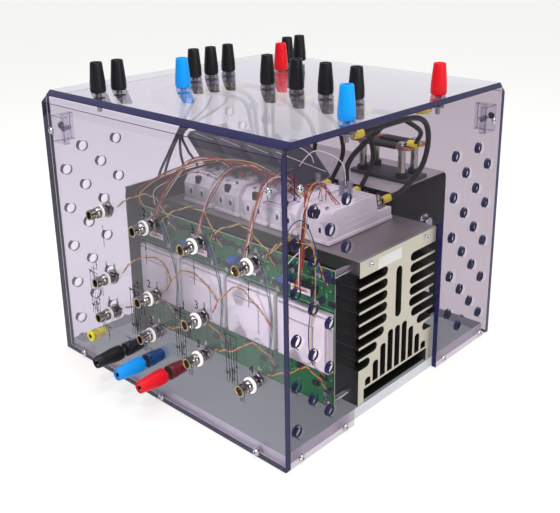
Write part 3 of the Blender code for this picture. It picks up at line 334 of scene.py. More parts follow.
# The two vent wall finishes are painted shade: the near half darker, the far half paler and clear near the
# surface.
BORE = cut_edge("vent_wall", (0.004, 0.004, 0.032), (0.05, 0.048, 0.16))
FAR_BORE = cut_edge("vent_far_wall", (0.01, 0.01, 0.045), (0.07, 0.068, 0.19), 0.1512)
PALE_EDGE = cut_edge("base_edge", (0.55, 0.54, 0.6), (0.8, 0.79, 0.84))
PRINT = plastic("printed_line", (0.006, 0.006, 0.01), 0.7, gloss=0.1)
WHITE_PRINT = plastic("printed_white", (0.75, 0.74, 0.74), 0.6)

# %% [markdown]
# ## Metal and board finishes that show their making
# The heatsink is an extrusion: faint streaks run along it, and its sawn ends
# have arcs from the blade; between its fins the faces are painted dark as shade.
# The circuit board shows tracks under green solder mask, and the sheet metal is
# powder coated, with painted light on its faces that look up. The patterns come
# from object coordinates, so they need no image.

# %% Heatsink, board, painted sheet
PLATE_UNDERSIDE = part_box("heatsink")[1].z - 0.012


def sink_finish():
    """Sawn ends are pale. Between the fins the metal is painted dark, as painted shade in the deep slots."""
    made = Finish("extruded_aluminium", Metallic=0.85)
    streaks = made.noise(160.0, 4.0, (0.03, 1, 1))
    arcs = made.node("TexWave", {"Vector": made.place(), "Scale": 420.0, "Distortion": 1.2, "Detail": 2.0},
                     wave_type="RINGS")
    turn_to = made.node("NewGeometry", output="Normal")
    along = made.axis(turn_to, 0)
    sawn = along.math("ABSOLUTE", along) > 0.7
    patch = made.noise(22.0, 3.0)
    height = made.axis(made.node("TexCoord", output="Object"), 2)
    # Painted shade: faces below the plate, other than the sawn ends, are darkened between the fins.
    deep = (1 - sawn) * (PLATE_UNDERSIDE > height)
    tint = made.blend(streaks * 0.5 + patch * 0.5, (0.22, 0.2, 0.2), (0.42, 0.39, 0.385))
    tint = made.blend(sawn * 0.92, tint, (0.6, 0.565, 0.48))
    tint = made.blend(deep * 0.86, tint, (0.045, 0.043, 0.04))
    rough = 0.42 + (streaks - 0.5) * 0.2 + sawn * (arcs * 0.14)
    return made.wear(Base_Color=tint, Roughness=rough,
                     Normal=made.bump(streaks * (1 - sawn) + arcs * sawn, 0.00005, 0.4))


def board_finish():
    """Solder mask over a pour of copper, with tracks and bare pads."""
    made = Finish("solder_mask", Specular_IOR_Level=0.25)
    black, grey, white = (0.0, 0.0, 0.0), (0.35, 0.35, 0.35), (1.0, 1.0, 1.0)
    tracks = made.node("TexBrick", {"Vector": made.place(), "Scale": 95.0, "Mortar Size": 0.045,
                                    "Color1": black, "Color2": grey, "Mortar": white},
                       offset=0.37, squash=1.6)
    vein = made.noise(45.0, 5.0)
    pads = made.node("TexVoronoi", {"Vector": made.place(), "Scale": 210.0}, feature="F1")
    dots = 1 - (pads > 0.16)
    pour = made.noise(12.0, 2.0)
    tint = made.blend(pour, (0.006, 0.105, 0.03), (0.014, 0.19, 0.058))
    tint = made.blend(tracks * 0.45, tint, (0.04, 0.27, 0.1))
    tint = made.blend(dots * (vein > 0.52), tint, (0.45, 0.47, 0.42))
    return made.wear(Base_Color=tint, Roughness=0.38 + vein * 0.12,
                     Normal=made.bump(tracks + dots, 0.00008, 0.5))


def painted_sheet():
    """Black powder coat, with painted light: the faces that look up are painted pale."""
    made = Finish("powder_coat", Specular_IOR_Level=0.07)
    peel = made.noise(1100.0, 3.0)
    rub = made.noise(30.0, 5.0)
    # Painted light: faces that look up get a pale tint, as if lit from above.
    painted_top_light = made.axis(made.node("NewGeometry", output="Normal"), 2) > 0.9
    tint = made.blend(rub, (0.003, 0.003, 0.005), (0.009, 0.009, 0.012))
    tint = made.blend(painted_top_light, tint, made.blend(rub, (0.34, 0.31, 0.32), (0.48, 0.45, 0.455)))
    return made.wear(Base_Color=tint, Roughness=0.34 + rub * 0.22,
                     Normal=made.bump(peel, 0.00004, 0.25))


SINK = sink_finish()
BOARD = board_finish()
BLACK_SHEET = painted_sheet()
BOARD_EDGE = plastic("board_edge", (0.42, 0.5, 0.34), 0.6)
print("finishes", len(bpy.data.materials))

# %% [markdown]
# ## Building closed shapes
# A piece is often several simple closed shells: a body, its screws, its studs.
# This class gathers them in one mesh. A turned shape is a profile of radii and
# heights carried round an axis. A block has its edges rounded, because no real
# edge is perfectly sharp, and a rounded one catches the light.

# %% The piece builder
FORWARD, UPWARD = (0, -1, 0), (0, 0, 1)


def facing(origin, out):
    """A place with its +Z along a direction."""
    return Matrix.Translation(origin) @ Vector(out).to_track_quat("Z", "Y").to_matrix().to_4x4()


def plane(across, along, out, origin):
    """The place of a drawing whose own X, Y and Z run along these directions."""
    turn_to = Matrix((across, along, out)).transposed().to_4x4()
    return Matrix.Translation(origin) @ turn_to


def seen_in_front(x, y, z):
    """The place of a drawing that is looked at from the front."""
    return plane((1, 0, 0), UPWARD, FORWARD, (x, y, z))


def seen_from_right(x, y, z):
    """The place of a drawing that is looked at from the right."""
    return plane((0, 1, 0), UPWARD, (1, 0, 0), (x, y, z))


def mm(*pairs):
    """Radii and heights, or flat outlines, given in millimetres."""
    return [(first / 1000, second / 1000) for first, second in pairs]


def rod(radius, low, high):
    """The profile of a solid cylinder."""
    return [(0, high), (radius, high), (radius, low), (0, low)]


def tube(inner, outer, low, high):
    """The profile of a hollow cylinder."""
    return [(inner, high), (outer, high), (outer, low), (inner, low)]


def hexagon(radius):
    return [(radius * cos(pi * k / 3), radius * sin(pi * k / 3)) for k in range(6)]


class Piece:
    """Closed shells in one mesh, each with its finish."""

    def __init__(self, *finishes):
        self.mesh = bmesh.new()
        self.finishes = list(finishes)

    def add(self, shell, finish, place=None):
        """Join one closed shell, with its faces turned outwards."""
        bmesh.ops.recalc_face_normals(shell, faces=shell.faces)
        if finish not in self.finishes:
            self.finishes.append(finish)
        for face in shell.faces:
            face.material_index = self.finishes.index(finish)
        if place is not None:
            shell.transform(place)
        made = bpy.data.meshes.new("shell")
        shell.to_mesh(made)
        shell.free()
        self.mesh.from_mesh(made)
        bpy.data.meshes.remove(made)
        return self

    def block(self, low, high, finish, bevel=0.0004, steps=2, place=None):
        low, high = Vector(low), Vector(high)
        shell = bmesh.new()
        size = Matrix.Diagonal((*(high - low), 1))
        bmesh.ops.create_cube(shell, size=1, matrix=Matrix.Translation((low + high) / 2) @ size)
        if bevel:
            bmesh.ops.bevel(shell, geom=list(shell.edges), offset=bevel, segments=steps,
                            profile=0.5, affect="EDGES")
        return self.add(shell, finish, place)

    def turned(self, profile, finish, place=None, sides=32, lobes=None):
        """Spin a profile listed from its top pole down to its bottom pole."""
        shell = bmesh.new()
        rings = []
        for index, (radius, height) in enumerate(profile):
            if radius == 0:
                rings.append([shell.verts.new((0, 0, height))])
                continue
            ring = []
            for step in range(sides):
                a = 2 * pi * step / sides
                reach = radius * (lobes[index](a) if lobes and index in lobes else 1)
                ring.append(shell.verts.new((reach * cos(a), reach * sin(a), height)))
            rings.append(ring)
        pairs = list(zip(rings, rings[1:]))
        if len(rings[0]) > 1 and len(rings[-1]) > 1:
            pairs.append((rings[-1], rings[0]))
        for first, second in pairs:
            for step in range(sides):
                nxt = (step + 1) % sides
                if len(first) == 1:
                    shell.faces.new((first[0], second[step], second[nxt]))
                elif len(second) == 1:
                    shell.faces.new((first[step], second[0], first[nxt]))
                else:
                    shell.faces.new((first[step], second[step], second[nxt], first[nxt]))
        return self.add(shell, finish, place)

    def prism(self, outline, low, high, finish, bevel=0.0, place=None, steps=2):
        """Carry a flat outline up along Z."""
        shell = bmesh.new()
        bottom = [shell.verts.new((u, v, low)) for u, v in outline]
        top = [shell.verts.new((u, v, high)) for u, v in outline]
        shell.faces.new(bottom)
        shell.faces.new(top)
        for step in range(len(outline)):
            nxt = (step + 1) % len(outline)
            shell.faces.new((bottom[step], bottom[nxt], top[nxt], top[step]))
        if bevel:
            bmesh.ops.bevel(shell, geom=list(shell.edges), offset=bevel, segments=steps,
                            profile=0.5, affect="EDGES")
        return self.add(shell, finish, place)

    def done(self, name, body=None, slot=None, replaces=()):
        mesh = bpy.data.meshes.new(name)
        self.mesh.to_mesh(mesh)
        self.mesh.free()
        for finish in self.finishes:
            mesh.materials.append(finish)
        return piece_of(mesh, name, body, replaces)


def piece_of(mesh, name, body=None, replaces=()):
    """Make a mesh a shown piece that rides on a body."""
    mesh.shade_smooth()
    mesh.set_sharp_from_angle(angle=radians(32))
    obj = place_object(name, mesh)
    if body:
        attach(obj, body)
    if replaces:
        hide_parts(*replaces)
    return obj


# %% [markdown]
# ## Three small Geometry Nodes trees
# What repeats or follows a path is made by rule. One tree puts a shape on every
# point of a mesh. One sweeps a round wire along edges. One fills an outline,
# leaves its holes open and thickens it, which is how the perforated sheets are
# made. Each ends in plain geometry, and a function reads it off as a mesh.

# %% Trees
class Tree:
    """A Geometry Nodes tree with named inputs."""

    def __init__(self, name, *inputs):
        self.group = bpy.data.node_groups.new(name, "GeometryNodeTree")
        sockets = self.group.interface
        sockets.new_socket("Geometry", in_out="INPUT", socket_type="NodeSocketGeometry")
        for label, kind in inputs:
            sockets.new_socket(label, in_out="INPUT", socket_type="NodeSocket" + kind)
        sockets.new_socket("Geometry", in_out="OUTPUT", socket_type="NodeSocketGeometry")
        self.start = self.group.nodes.new("NodeGroupInput")
        self.end = self.group.nodes.new("NodeGroupOutput")

    def node(self, kind, inputs, output=0, family="GeometryNode", **settings):
        """One node with its settings and inputs. A list joins several links."""
        made = self.group.nodes.new(family + kind)
        for label, value in settings.items():
            setattr(made, label, value)
        for label, value in inputs.items():
            values = value if isinstance(value, list) else [value]
            for one in values:
                if isinstance(one, bpy.types.NodeSocket):
                    self.group.links.new(one, made.inputs[label])
                else:
                    made.inputs[label].default_value = one
        return made.outputs[output]

    def given(self, label):
        return self.start.outputs[label]

    def close(self, geometry, material=None):
        """Realize the instances and set the material, then end the tree."""
        plain = self.node("RealizeInstances", {"Geometry": geometry})
        if material is not None:
            plain = self.node("SetMaterial", {"Geometry": plain, "Material": material})
        self.group.links.new(plain, self.end.inputs[0])
        return self.group


def grow(group, mesh, **values):
    """The plain mesh that a tree makes from a base mesh and its named inputs."""
    base = place_object("base", mesh)
    modifier = base.modifiers.new("grow", "NODES")
    modifier.node_group = group
    for item in group.interface.items_tree:
        label = item.name.replace(" ", "_")
        if item.in_out == "INPUT" and label in values:
            modifier[item.identifier] = values[label]
    base.update_tag()
    bpy.context.view_layer.update()
    graph = bpy.context.evaluated_depsgraph_get()
    made = bpy.data.meshes.new_from_object(base.evaluated_get(graph))
    base.modifiers.remove(modifier)
    bpy.data.objects.remove(base, do_unlink=True)
    return made


def repeat_tree():
    tree = Tree("repeat_on_points", ("Shape", "Object"))
    shape = tree.node("ObjectInfo", {"Object": tree.given("Shape")}, "Geometry")
    turn_to = tree.node("InputNamedAttribute", {"Name": "turn"}, data_type="FLOAT_VECTOR")
    aimed = tree.node("EulerToRotation", {"Euler": turn_to}, family="FunctionNode")
    points = tree.node("MeshToPoints", {"Mesh": tree.given("Geometry")})
    copies = tree.node("InstanceOnPoints", {"Points": points, "Instance": shape, "Rotation": aimed})
    return tree.close(copies)


def wire_tree():
    tree = Tree("wire_on_edges", ("Radius", "Float"), ("Sides", "Int"), ("Finish", "Material"))
    path = tree.node("MeshToCurve", {"Mesh": tree.given("Geometry")})
    ring = tree.node("CurvePrimitiveCircle", {"Resolution": tree.given("Sides"),
                                              "Radius": tree.given("Radius")})
    swept = tree.node("CurveToMesh", {"Curve": path, "Profile Curve": ring, "Fill Caps": True})
    return tree.close(swept, tree.given("Finish"))


def sheet_tree():
    tree = Tree("cut_sheet", ("Holes", "Object"), ("Thickness", "Float"), ("Sides", "Int"),
                ("Finish", "Material"))
    outline = tree.node("MeshToCurve", {"Mesh": tree.given("Geometry")})
    spots = tree.node("ObjectInfo", {"Object": tree.given("Holes")}, "Geometry")
    width = tree.node("InputNamedAttribute", {"Name": "hole_radius"}, data_type="FLOAT")
    ring = tree.node("CurvePrimitiveCircle", {"Resolution": tree.given("Sides"), "Radius": 1.0})
    points = tree.node("MeshToPoints", {"Mesh": spots})
    rings = tree.node("InstanceOnPoints", {"Points": points, "Instance": ring, "Scale": width})
    cuts = tree.node("RealizeInstances", {"Geometry": rings})
    lines = tree.node("JoinGeometry", {"Geometry": [outline, cuts]})
    flat = tree.node("FillCurve", {"Curve": lines}, mode="NGONS")
    raised = tree.node("ExtrudeMesh", {"Mesh": flat, "Offset": (0.0, 0.0, 1.0),
                                       "Offset Scale": tree.given("Thickness"), "Individual": False})
    under = tree.node("FlipFaces", {"Mesh": flat})
    both = tree.node("JoinGeometry", {"Geometry": [raised, under]})
    whole = tree.node("MergeByDistance", {"Geometry": both, "Distance": 0.00001})
    return tree.close(whole, tree.given("Finish"))


REPEAT, WIRES, CUT_SHEET = repeat_tree(), wire_tree(), sheet_tree()


def repeated(shape, spots):
    """A shape's copies at places given as (point, direction)."""
    mesh = bpy.data.meshes.new("spots")
    mesh.from_pydata([tuple(spot) for spot, out in spots], [], [])
    turns = mesh.attributes.new("turn", "FLOAT_VECTOR", "POINT")
    for item, (spot, out) in zip(turns.data, spots):
        item.vector = Vector(out).to_track_quat("Z", "Y").to_euler()
    return grow(REPEAT, mesh, Shape=shape)


def repeated_piece(shape, spots, name, replaces=()):
    """The copies of a shape as one shown piece on the case. The shape itself goes."""
    mesh = repeated(shape, spots)
    bpy.data.objects.remove(shape, do_unlink=True)
    return piece_of(mesh, name, "case", replaces)


def smooth(points, count):
    """Points on a smooth curve through a route."""
    points = [Vector(p) for p in points]
    ends = [2 * points[0] - points[1]] + points + [2 * points[-1] - points[-2]]
    spans = len(points) - 1
    path = []
    for step in range(count):
        place = step * spans / (count - 1)
        index = min(int(place), spans - 1)
        t = place - index
        a, b, c, d = ends[index:index + 4]
        path.append((2 * b + (c - a) * t + (2 * a - 5 * b + 4 * c - d) * t ** 2
                     + (3 * b - a - 3 * c + d) * t ** 3) / 2)
    return path


def steps_from(origin, *steps):
    """Points given in millimetres from an origin."""
    return [tuple(start + step / 1000 for start, step in zip(origin, point)) for point in steps]


def wires(routes, radius, finish, name, count=26, sides=8, replaces=()):
    """Round wires along smooth routes, as one piece."""
    mesh = bpy.data.meshes.new("routes")
    verts, edges = [], []
    for route in routes:
        first = len(verts)
        verts += [tuple(p) for p in smooth(route, count)]
        edges += [(i, i + 1) for i in range(first, len(verts) - 1)]
    mesh.from_pydata(verts, edges, [])
    made = grow(WIRES, mesh, Radius=radius, Sides=sides, Finish=finish)
    return piece_of(made, name, "case", replaces)


print("trees", len(bpy.data.node_groups))

# %% [markdown]
# ## The box of clear sheet
# Six plates make the case. The side plates are perforated and notched where
# the air passes, and the lid meets the front and rear at 45 degrees, which
# shows as a dark indigo band, painted into the cut faces' colour. Each plate is a
# cut sheet with its cut faces given the edge finish and its corners eased, so that they glint.

# %% Sizes of the case
SHEET = 0.005
FIT = 0.0003
EASE = 0.0003
LEFT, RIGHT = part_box("front_panel")[0].x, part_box("front_panel")[1].x
FRONT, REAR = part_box("top_panel")[0].y - SHEET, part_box("top_panel")[1].y + SHEET
TOP = 0.2676
MIDDLE_Y = (FRONT + REAR) / 2
INNER_TOP = TOP - SHEET
sink_low, sink_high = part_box("heatsink")
NOTCH = (sink_low.y - 0.012, sink_high.y + 0.0015, sink_high.z + 0.006)
VENT_RADIUS, COAX_HOLE, JACK_HOLE = 0.005, 0.0052, 0.0043
UPPER_SCREW_Z, SCREW_INSET, BASE_THICKNESS = 0.2316, 0.013, 0.01
joints = {joint["name"]: Vector(joint["pos_m"]) for joint in frame["joints"]}
print("case", round(RIGHT - LEFT, 4), round(REAR - FRONT, 4), TOP)

# %% [markdown]
# ## Cutting the plates
# The real plates are cut by laser, and their cuts look deep indigo, which is painted here. Here an
# outline and its holes are filled and thickened in the sheet's own plane, then
# placed. In a vent the near half of the wall is painted dark all through, and the
# far half is painted dark in its deeper part alone, as painted shade, so the two halves get a finish each.

# %% Plates
def middle_of(node):
    low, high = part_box(node)
    return (low + high) / 2


def cut_sheet(outline, holes, place, name, replaces, face=None, slopes=(), ways_left_clear=(), bore=BORE):
    """A placed sheet with clear faces and edges painted dark, as painted shade. Faces of
    its rim that look one of the listed ways, in the sheet's own axes, are left clear."""
    count = len(outline)
    rim = bpy.data.meshes.new("outline")
    rim.from_pydata([(u, v, 0) for u, v in outline], [(i, (i + 1) % count) for i in range(count)], [])
    spots = bpy.data.meshes.new("holes")
    spots.from_pydata([(u, v, 0) for u, v, radius in holes], [], [])
    widths = spots.attributes.new("hole_radius", "FLOAT", "POINT")
    for item, (u, v, radius) in zip(widths.data, holes):
        item.value = radius
    holder = place_object("holes", spots)
    mesh = grow(CUT_SHEET, rim, Holes=holder, Thickness=SHEET, Sides=28, Finish=EDGE)
    bpy.data.objects.remove(holder, do_unlink=True)
    shell = bmesh.new()
    shell.from_mesh(mesh)
    for slope in slopes:
        slope(shell)
    rims = [edge for edge in shell.edges if len(edge.link_faces) == 2
            and edge.calc_face_angle(0) > radians(30)]
    bmesh.ops.bevel(shell, geom=rims, offset=EASE, segments=1, profile=0.5, affect="EDGES")
    bmesh.ops.recalc_face_normals(shell, faces=shell.faces)
    turn_to = place.to_3x3()
    for one in shell.faces:
        spot = one.calc_center_median()
        near_hole = any((spot.x - u) ** 2 + (spot.y - v) ** 2 < (radius * 1.15) ** 2
                        for u, v, radius in holes)
        # The indigo rim is painted shade; rim faces that look one of the listed ways are left clear.
        rim_left_clear = not near_hole and any(one.normal.dot(Vector(way)) > 0.6 for way in ways_left_clear)
        flat = abs(one.normal.z) > 0.98 or rim_left_clear
        # Painted shade: the near half of each vent wall gets the darker finish.
        shaded_near_wall = (turn_to @ one.normal).y > 0.15
        one.material_index = 0 if flat else 1 if not near_hole else 2 if shaded_near_wall else 3
    shell.transform(place)
    bmesh.ops.recalc_face_normals(shell, faces=shell.faces)
    mesh.materials.clear()
    shell.to_mesh(mesh)
    shell.free()
    for finish in (face or CLEAR, EDGE, bore, FAR_BORE if bore is BORE else bore):
        mesh.materials.append(finish)
    return piece_of(mesh, name, "case", replaces)


def lean(axis, where, side, amount, near=0.0001):
    """Slide the outer face's edge at one end, which leaves a 45 degree cut."""
    def move(shell):
        for vert in shell.verts:
            if abs(vert.co[axis] - where) < near and abs(vert.co.z - side) < near:
                vert.co[axis] += amount
    return move


coax_names = sorted(name for name in nodes if name.startswith("coax_socket"))
coax_spots = {name: middle_of(name) for name in coax_names}
jack = middle_of("yellow_socket")
front_holes = [(spot.x, spot.z, COAX_HOLE) for spot in coax_spots.values()]
front_holes.append((jack.x, jack.z, JACK_HOLE))
wall = [(LEFT, 0), (RIGHT, 0), (RIGHT, INNER_TOP - FIT), (LEFT, INNER_TOP - FIT)]
cut_sheet(wall, front_holes, seen_in_front(0, FRONT + SHEET, 0),
          "front_plate", ["front_panel"], CLEAR_FRONT, slopes=[lean(1, INNER_TOP - FIT, SHEET, -SHEET)],
          ways_left_clear=[(0, 1, 0)], bore=CLEAR)
cut_sheet([(-x, z) for x, z in wall][::-1], [], plane((-1, 0, 0), UPWARD, (0, 1, 0), (0, REAR - SHEET, 0)),
          "rear_plate", ["rear_panel"], CLEAR_REAR, slopes=[lean(1, INNER_TOP - FIT, SHEET, -SHEET)],
          ways_left_clear=[(0, 1, 0)])
lid = [(LEFT, FRONT + SHEET), (RIGHT, FRONT + SHEET), (RIGHT, REAR - SHEET), (LEFT, REAR - SHEET)]
cut_sheet(lid, [], plane((1, 0, 0), (0, 1, 0), (0, 0, 1), (0, 0, INNER_TOP)), "lid_plate", ["top_panel"],
          CLEAR_TOP, [lean(1, FRONT + SHEET, SHEET, SHEET), lean(1, REAR - SHEET, SHEET, -SHEET)],
          [(-1, 0, 0), (0, 1, 0)])

VENT_PITCH, FIRST_COLUMN, FIRST_ROW = 0.02, 0.08, 0.028
VENT_LAND, BLOCK_LAND = 0.011, 0.021


def vents():
    """The staggered grid of vent holes beside and above the notch."""
    spots = []
    for column in range(4):
        offset = FIRST_COLUMN + column * VENT_PITCH
        z = FIRST_ROW if column % 2 else FIRST_ROW + VENT_PITCH
        while z <= UPPER_SCREW_Z - BLOCK_LAND:
            for y in (MIDDLE_Y - offset, MIDDLE_Y + offset):
                if not (NOTCH[0] - VENT_LAND < y < NOTCH[1] + VENT_LAND and z < NOTCH[2] + VENT_LAND):
                    spots.append((y, z))
            z += 2 * VENT_PITCH
    return spots


side_front, side_rear, side_top = FRONT + SHEET + FIT, REAR - SHEET - FIT, INNER_TOP - FIT
side = [(side_front, 0), (NOTCH[0], 0), (NOTCH[0], NOTCH[2]), (NOTCH[1], NOTCH[2]),
        (NOTCH[1], 0), (side_rear, 0), (side_rear, side_top), (side_front, side_top)]
holes = [(y, z, VENT_RADIUS) for y, z in vents()]
cut_sheet(side, holes, seen_from_right(RIGHT - SHEET, 0, 0), "right_plate", ["right_side_panel"],
          CLEAR_RIGHT, ways_left_clear=[(1, 0, 0), (0, -1, 0)])
cut_sheet([(-y, z) for y, z in side][::-1], [(-y, z, r) for y, z, r in holes],
          plane((0, -1, 0), (0, 0, 1), (-1, 0, 0), (LEFT + SHEET, 0, 0)), "left_plate", ["left_side_panel"])
base_low, base_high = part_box("base_plate")
# The base plate's clear faces carry the darker tint that is painted shadow.
plate = Piece(SHADED_CLEAR_BASE, PALE_EDGE)
plate.block(base_low, base_high, PALE_EDGE, 0.0004, 1)
for one in plate.mesh.faces:
    one.material_index = 0 if abs(one.normal.z) > 0.98 else 1
plate.done("floor_plate", "case", "clear_sheet", ["base_plate"])
print("vents on each side", len(holes))

# %% [markdown]
# ## Screws and corner blocks
# Pan-head screws hold the plates to the base and to small clear angle blocks in
# the upper corners. One head is turned with a cross recess, whose four lobes come
# from widening and narrowing a ring, and a tree repeats it.

# %% Panel screws
BASE_SCREW_SHARE = 0.79


def lobed(angle):
    return 0.45 + 0.75 * abs(cos(2 * angle)) ** 4


head = Piece(STEEL)
head.turned(mm((0, 0.9), (1, 0.9), (1.3, 2.3), (1.7, 2.4), (2.4, 2.1), (2.8, 1.5), (2.9, 0.6), (3.4, 0.6),
               (3.4, 0), (0, 0)), STEEL, sides=32, lobes={1: lobed, 2: lobed})
head_shape = head.done("screw_head")
low, reach = BASE_THICKNESS / 2, BASE_SCREW_SHARE * RIGHT
screws = []
for y, out in ((FRONT, -1), (REAR, 1)):
    screws += [((x, y, low), (0, out, 0)) for x in (-reach, 0, reach)]
    screws += [((x, y, UPPER_SCREW_Z), (0, out, 0)) for x in (LEFT + SCREW_INSET, RIGHT - SCREW_INSET)]
outer_rows = (side_front + SCREW_INSET, side_rear - SCREW_INSET)
lower_rows = (outer_rows[0], NOTCH[0] - SCREW_INSET, NOTCH[1] + SCREW_INSET, outer_rows[1])
for x, out in ((LEFT, -1), (RIGHT, 1)):
    screws += [((x, y, low), (out, 0, 0)) for y in lower_rows]
    screws += [((x, y, UPPER_SCREW_Z), (out, 0, 0)) for y in outer_rows]
repeated_piece(head_shape, screws, "panel_screws")

nut = Piece(STEEL).prism(hexagon(0.0033), 0.0, 0.0026, STEEL, 0.0003, steps=1)
nut.turned(mm((0, 4.8), (1.4, 4.8), (1.6, 4.4), (1.6, 2.2), (0, 2.2)), STEEL, sides=16)
nut_shape = nut.done("block_nut")
nuts, blocks = [], Piece(CLEAR, EDGE)
LEG, WALL_OF_BLOCK, BLOCK_HALF = 0.02, 0.006, 0.013
for x, out in ((LEFT + SHEET, 1), (RIGHT - SHEET, -1)):
    for y, back in ((side_front, 1), (side_rear, -1)):
        corner = [(x, y), (x + out * LEG, y), (x + out * LEG, y + back * WALL_OF_BLOCK),
                  (x + out * WALL_OF_BLOCK, y + back * WALL_OF_BLOCK),
                  (x + out * WALL_OF_BLOCK, y + back * LEG), (x, y + back * LEG)]
        blocks.prism(corner, UPPER_SCREW_Z - BLOCK_HALF, UPPER_SCREW_Z + BLOCK_HALF, EDGE, 0.0004, steps=1)
        nuts.append(((x + out * WALL_OF_BLOCK, y + back * SCREW_INSET, UPPER_SCREW_Z), (out, 0, 0)))
        nuts.append(((x + out * (SCREW_INSET - SHEET), y + back * WALL_OF_BLOCK, UPPER_SCREW_Z),
                     (0, back, 0)))
for one in blocks.mesh.faces:
    one.material_index = 0 if one.calc_area() > 0.00011 else 1
blocks.done("corner_blocks", "case", "clear_sheet")
repeated_piece(nut_shape, nuts, "corner_nuts")
print("panel screws", len(screws), "nuts", len(nuts))

# %% [markdown]
# ## Coaxial sockets
# Eleven panel sockets stand out of the front in three rows. Each has a nickel
# barrel with two bayonet pins, a brass-coloured mouth round a white core, a white
# insulating ring on the panel, and a nut, a tag and a solder pin behind it.

# %% One coaxial socket, repeated
barrel = Piece(NICKEL, GOLD, RING_WHITE)
barrel.turned(mm((4, 13.5), (4.6, 13.5), (4.85, 13.2), (4.85, 9.6), (4.3, 9.2), (4.3, 8.2), (4.85, 7.8),
                 (4.85, 5.6), (5.1, 5.2), (5.2, 4.8), (5.2, 2.3), (3.6, 2.3), (3.6, 4.4), (4, 4.6)),
              NICKEL, sides=36)
barrel.turned(mm((3.6, 13), (4, 13.2), (4, 5), (3.6, 5)), GOLD, sides=28)
barrel.turned(mm((0, 6.2), (3, 6.2), (3.6, 5.6), (3.6, 4.2), (0, 4.2)), RING_WHITE, sides=24)
barrel.turned(mm((0.5, 10.8), (1.2, 10.8), (1.3, 10.5), (1.3, 6), (0.5, 6)), GOLD, sides=14)
for flip in (-1, 1):
    barrel.turned(mm((0, 1.7), (0.8, 1.7), (1, 1.4), (1, -0.4), (0, -0.4)), NICKEL,
                  facing((0.0047 * flip, 0, 0.0112), (flip, 0, 0)), sides=12)
barrel.turned(mm((5, 2.3), (6.4, 2.3), (6.7, 2), (6.7, 0.6), (6.5, 0.3), (5, 0.3)), RING_WHITE, sides=36)
barrel.turned(mm((0, 2), (4.7, 2), (4.7, -9.8), (4.4, -10.1), (0, -10.1)), NICKEL, sides=24)
barrel.turned(mm((5, -5.2), (7, -5.3), (7.2, -6), (5, -6)), NICKEL, sides=28)
barrel.prism(hexagon(0.007), -0.0088, -0.0061, NICKEL, 0.0003, steps=1)
barrel.turned(mm((0, -10), (2.8, -10), (2.8, -11.2), (1.1, -11.4), (1, -12.8), (1.2, -13), (0, -13)),
              GOLD, sides=16)
tag = mm((-1.6, 0), (1.6, 0), (1.4, 10.5), (0.6, 12.5), (-0.6, 12.5), (-1.4, 10.5))
barrel.prism(tag, -0.0092, -0.0087, NICKEL, 0.0)
coax_shape = barrel.done("coax_shape")
coax_places = [((coax_spots[name].x, FRONT, coax_spots[name].z), FORWARD) for name in coax_names]
repeated_piece(coax_shape, coax_places, "coax_sockets", coax_names)
print("coaxial sockets", len(coax_places))

# %% [markdown]
# ## Terminals and their caps
# A terminal is a hollow nickel post through the sheet, with a nut and a tail
# under it. The cap that screws onto it is a long taper, wider at the foot, with a
# ring and a hole in its tip. All the posts are copies of one turned shape and
# ride with the case, because they don't move.

# %% Posts
post = Piece(NICKEL, SLEEVE)
post.turned(mm((2.05, 27.4), (2.8, 27.4), (3, 27.2), (3, -4.8), (2.8, -5), (2.2, -5), (2.2, -17.2),
               (1.9, -17.5), (0, -17.5)), NICKEL, sides=24)
post.turned(mm((2.3, -5), (6.2, -5), (6.4, -5.3), (6.4, -6.4), (2.3, -6.4)), SLEEVE, sides=28)
post.prism(hexagon(0.006), -0.0095, -0.0065, NICKEL, 0.0003, steps=1)
post_shape = post.done("post_shape")
cap_names = sorted(name for name in nodes if "_cap_" in name)
front_caps = [name for name in cap_names if middle_of(name).y < FRONT]


def cap_way(name):
    """Where a cap points: out of the front, or up from the lid."""
    return FORWARD if name in front_caps else UPWARD


posts = [(joints[name + "_turn"], cap_way(name)) for name in cap_names]
repeated_piece(post_shape, posts, "terminal_posts")

# %% [markdown]
# ## Caps
# A cap is an injection-moulded nut in black, blue or red, hollow from foot to
# tip. One profile is turned round each cap's own axis, and every cap is a piece
# and a body of its own, so that it turns on its post. Behind the three front
# caps a short collar covers the nut and the tail, in the cap's colour darkened as painted shade.

# %% Caps
CAP_FINISH = {"black": CAP_BLACK, "blue": CAP_BLUE, "red": CAP_RED}


def cap_piece(name, colour):
    finish = CAP_FINISH[colour]
    cap = Piece(finish)
    cap.turned(mm((3.2, 28.1), (3.7, 28.3), (4, 27.5), (4.5, 27.5), (4.7, 28.3), (5.2, 28.2), (5.5, 27.6),
                  (6.2, 20), (6.9, 12.2), (7.1, 10.5), (7.3, 3), (7, 1), (6.4, 0.3), (3.3, 0.3)), finish,
               facing(joints[name + "_turn"], cap_way(name)), sides=40)
    return cap.done(name + "_moulding", name + "_body", "cap_" + colour, [name])


# Painted shade: the collars are darker copies of the cap colours, for the shade behind the front plate.
SHADED_COLLAR = {"black": plastic("collar_black", (0.01, 0.01, 0.012), 0.3),
          "blue": plastic("collar_blue", (0.004, 0.026, 0.15), 0.3),
          "red": plastic("collar_red", (0.1, 0.006, 0.012), 0.3)}
collars = Piece(*SHADED_COLLAR.values())
for name in cap_names:
    colour = name.split("_")[0]
    cap_piece(name, colour)
    if name in front_caps:
        collars.turned(mm((0, -5.1), (6.6, -5.1), (6.8, -5.5), (6.6, -12), (6, -12.6), (5.9, -21.5),
                          (5.4, -23.2), (4, -23.6), (0, -23.6)), SHADED_COLLAR[colour],
                       facing(joints[name + "_turn"], FORWARD), sides=36)
collars.done("front_terminal_collars", "case", "dark_plastic")
print("caps", len(cap_names))

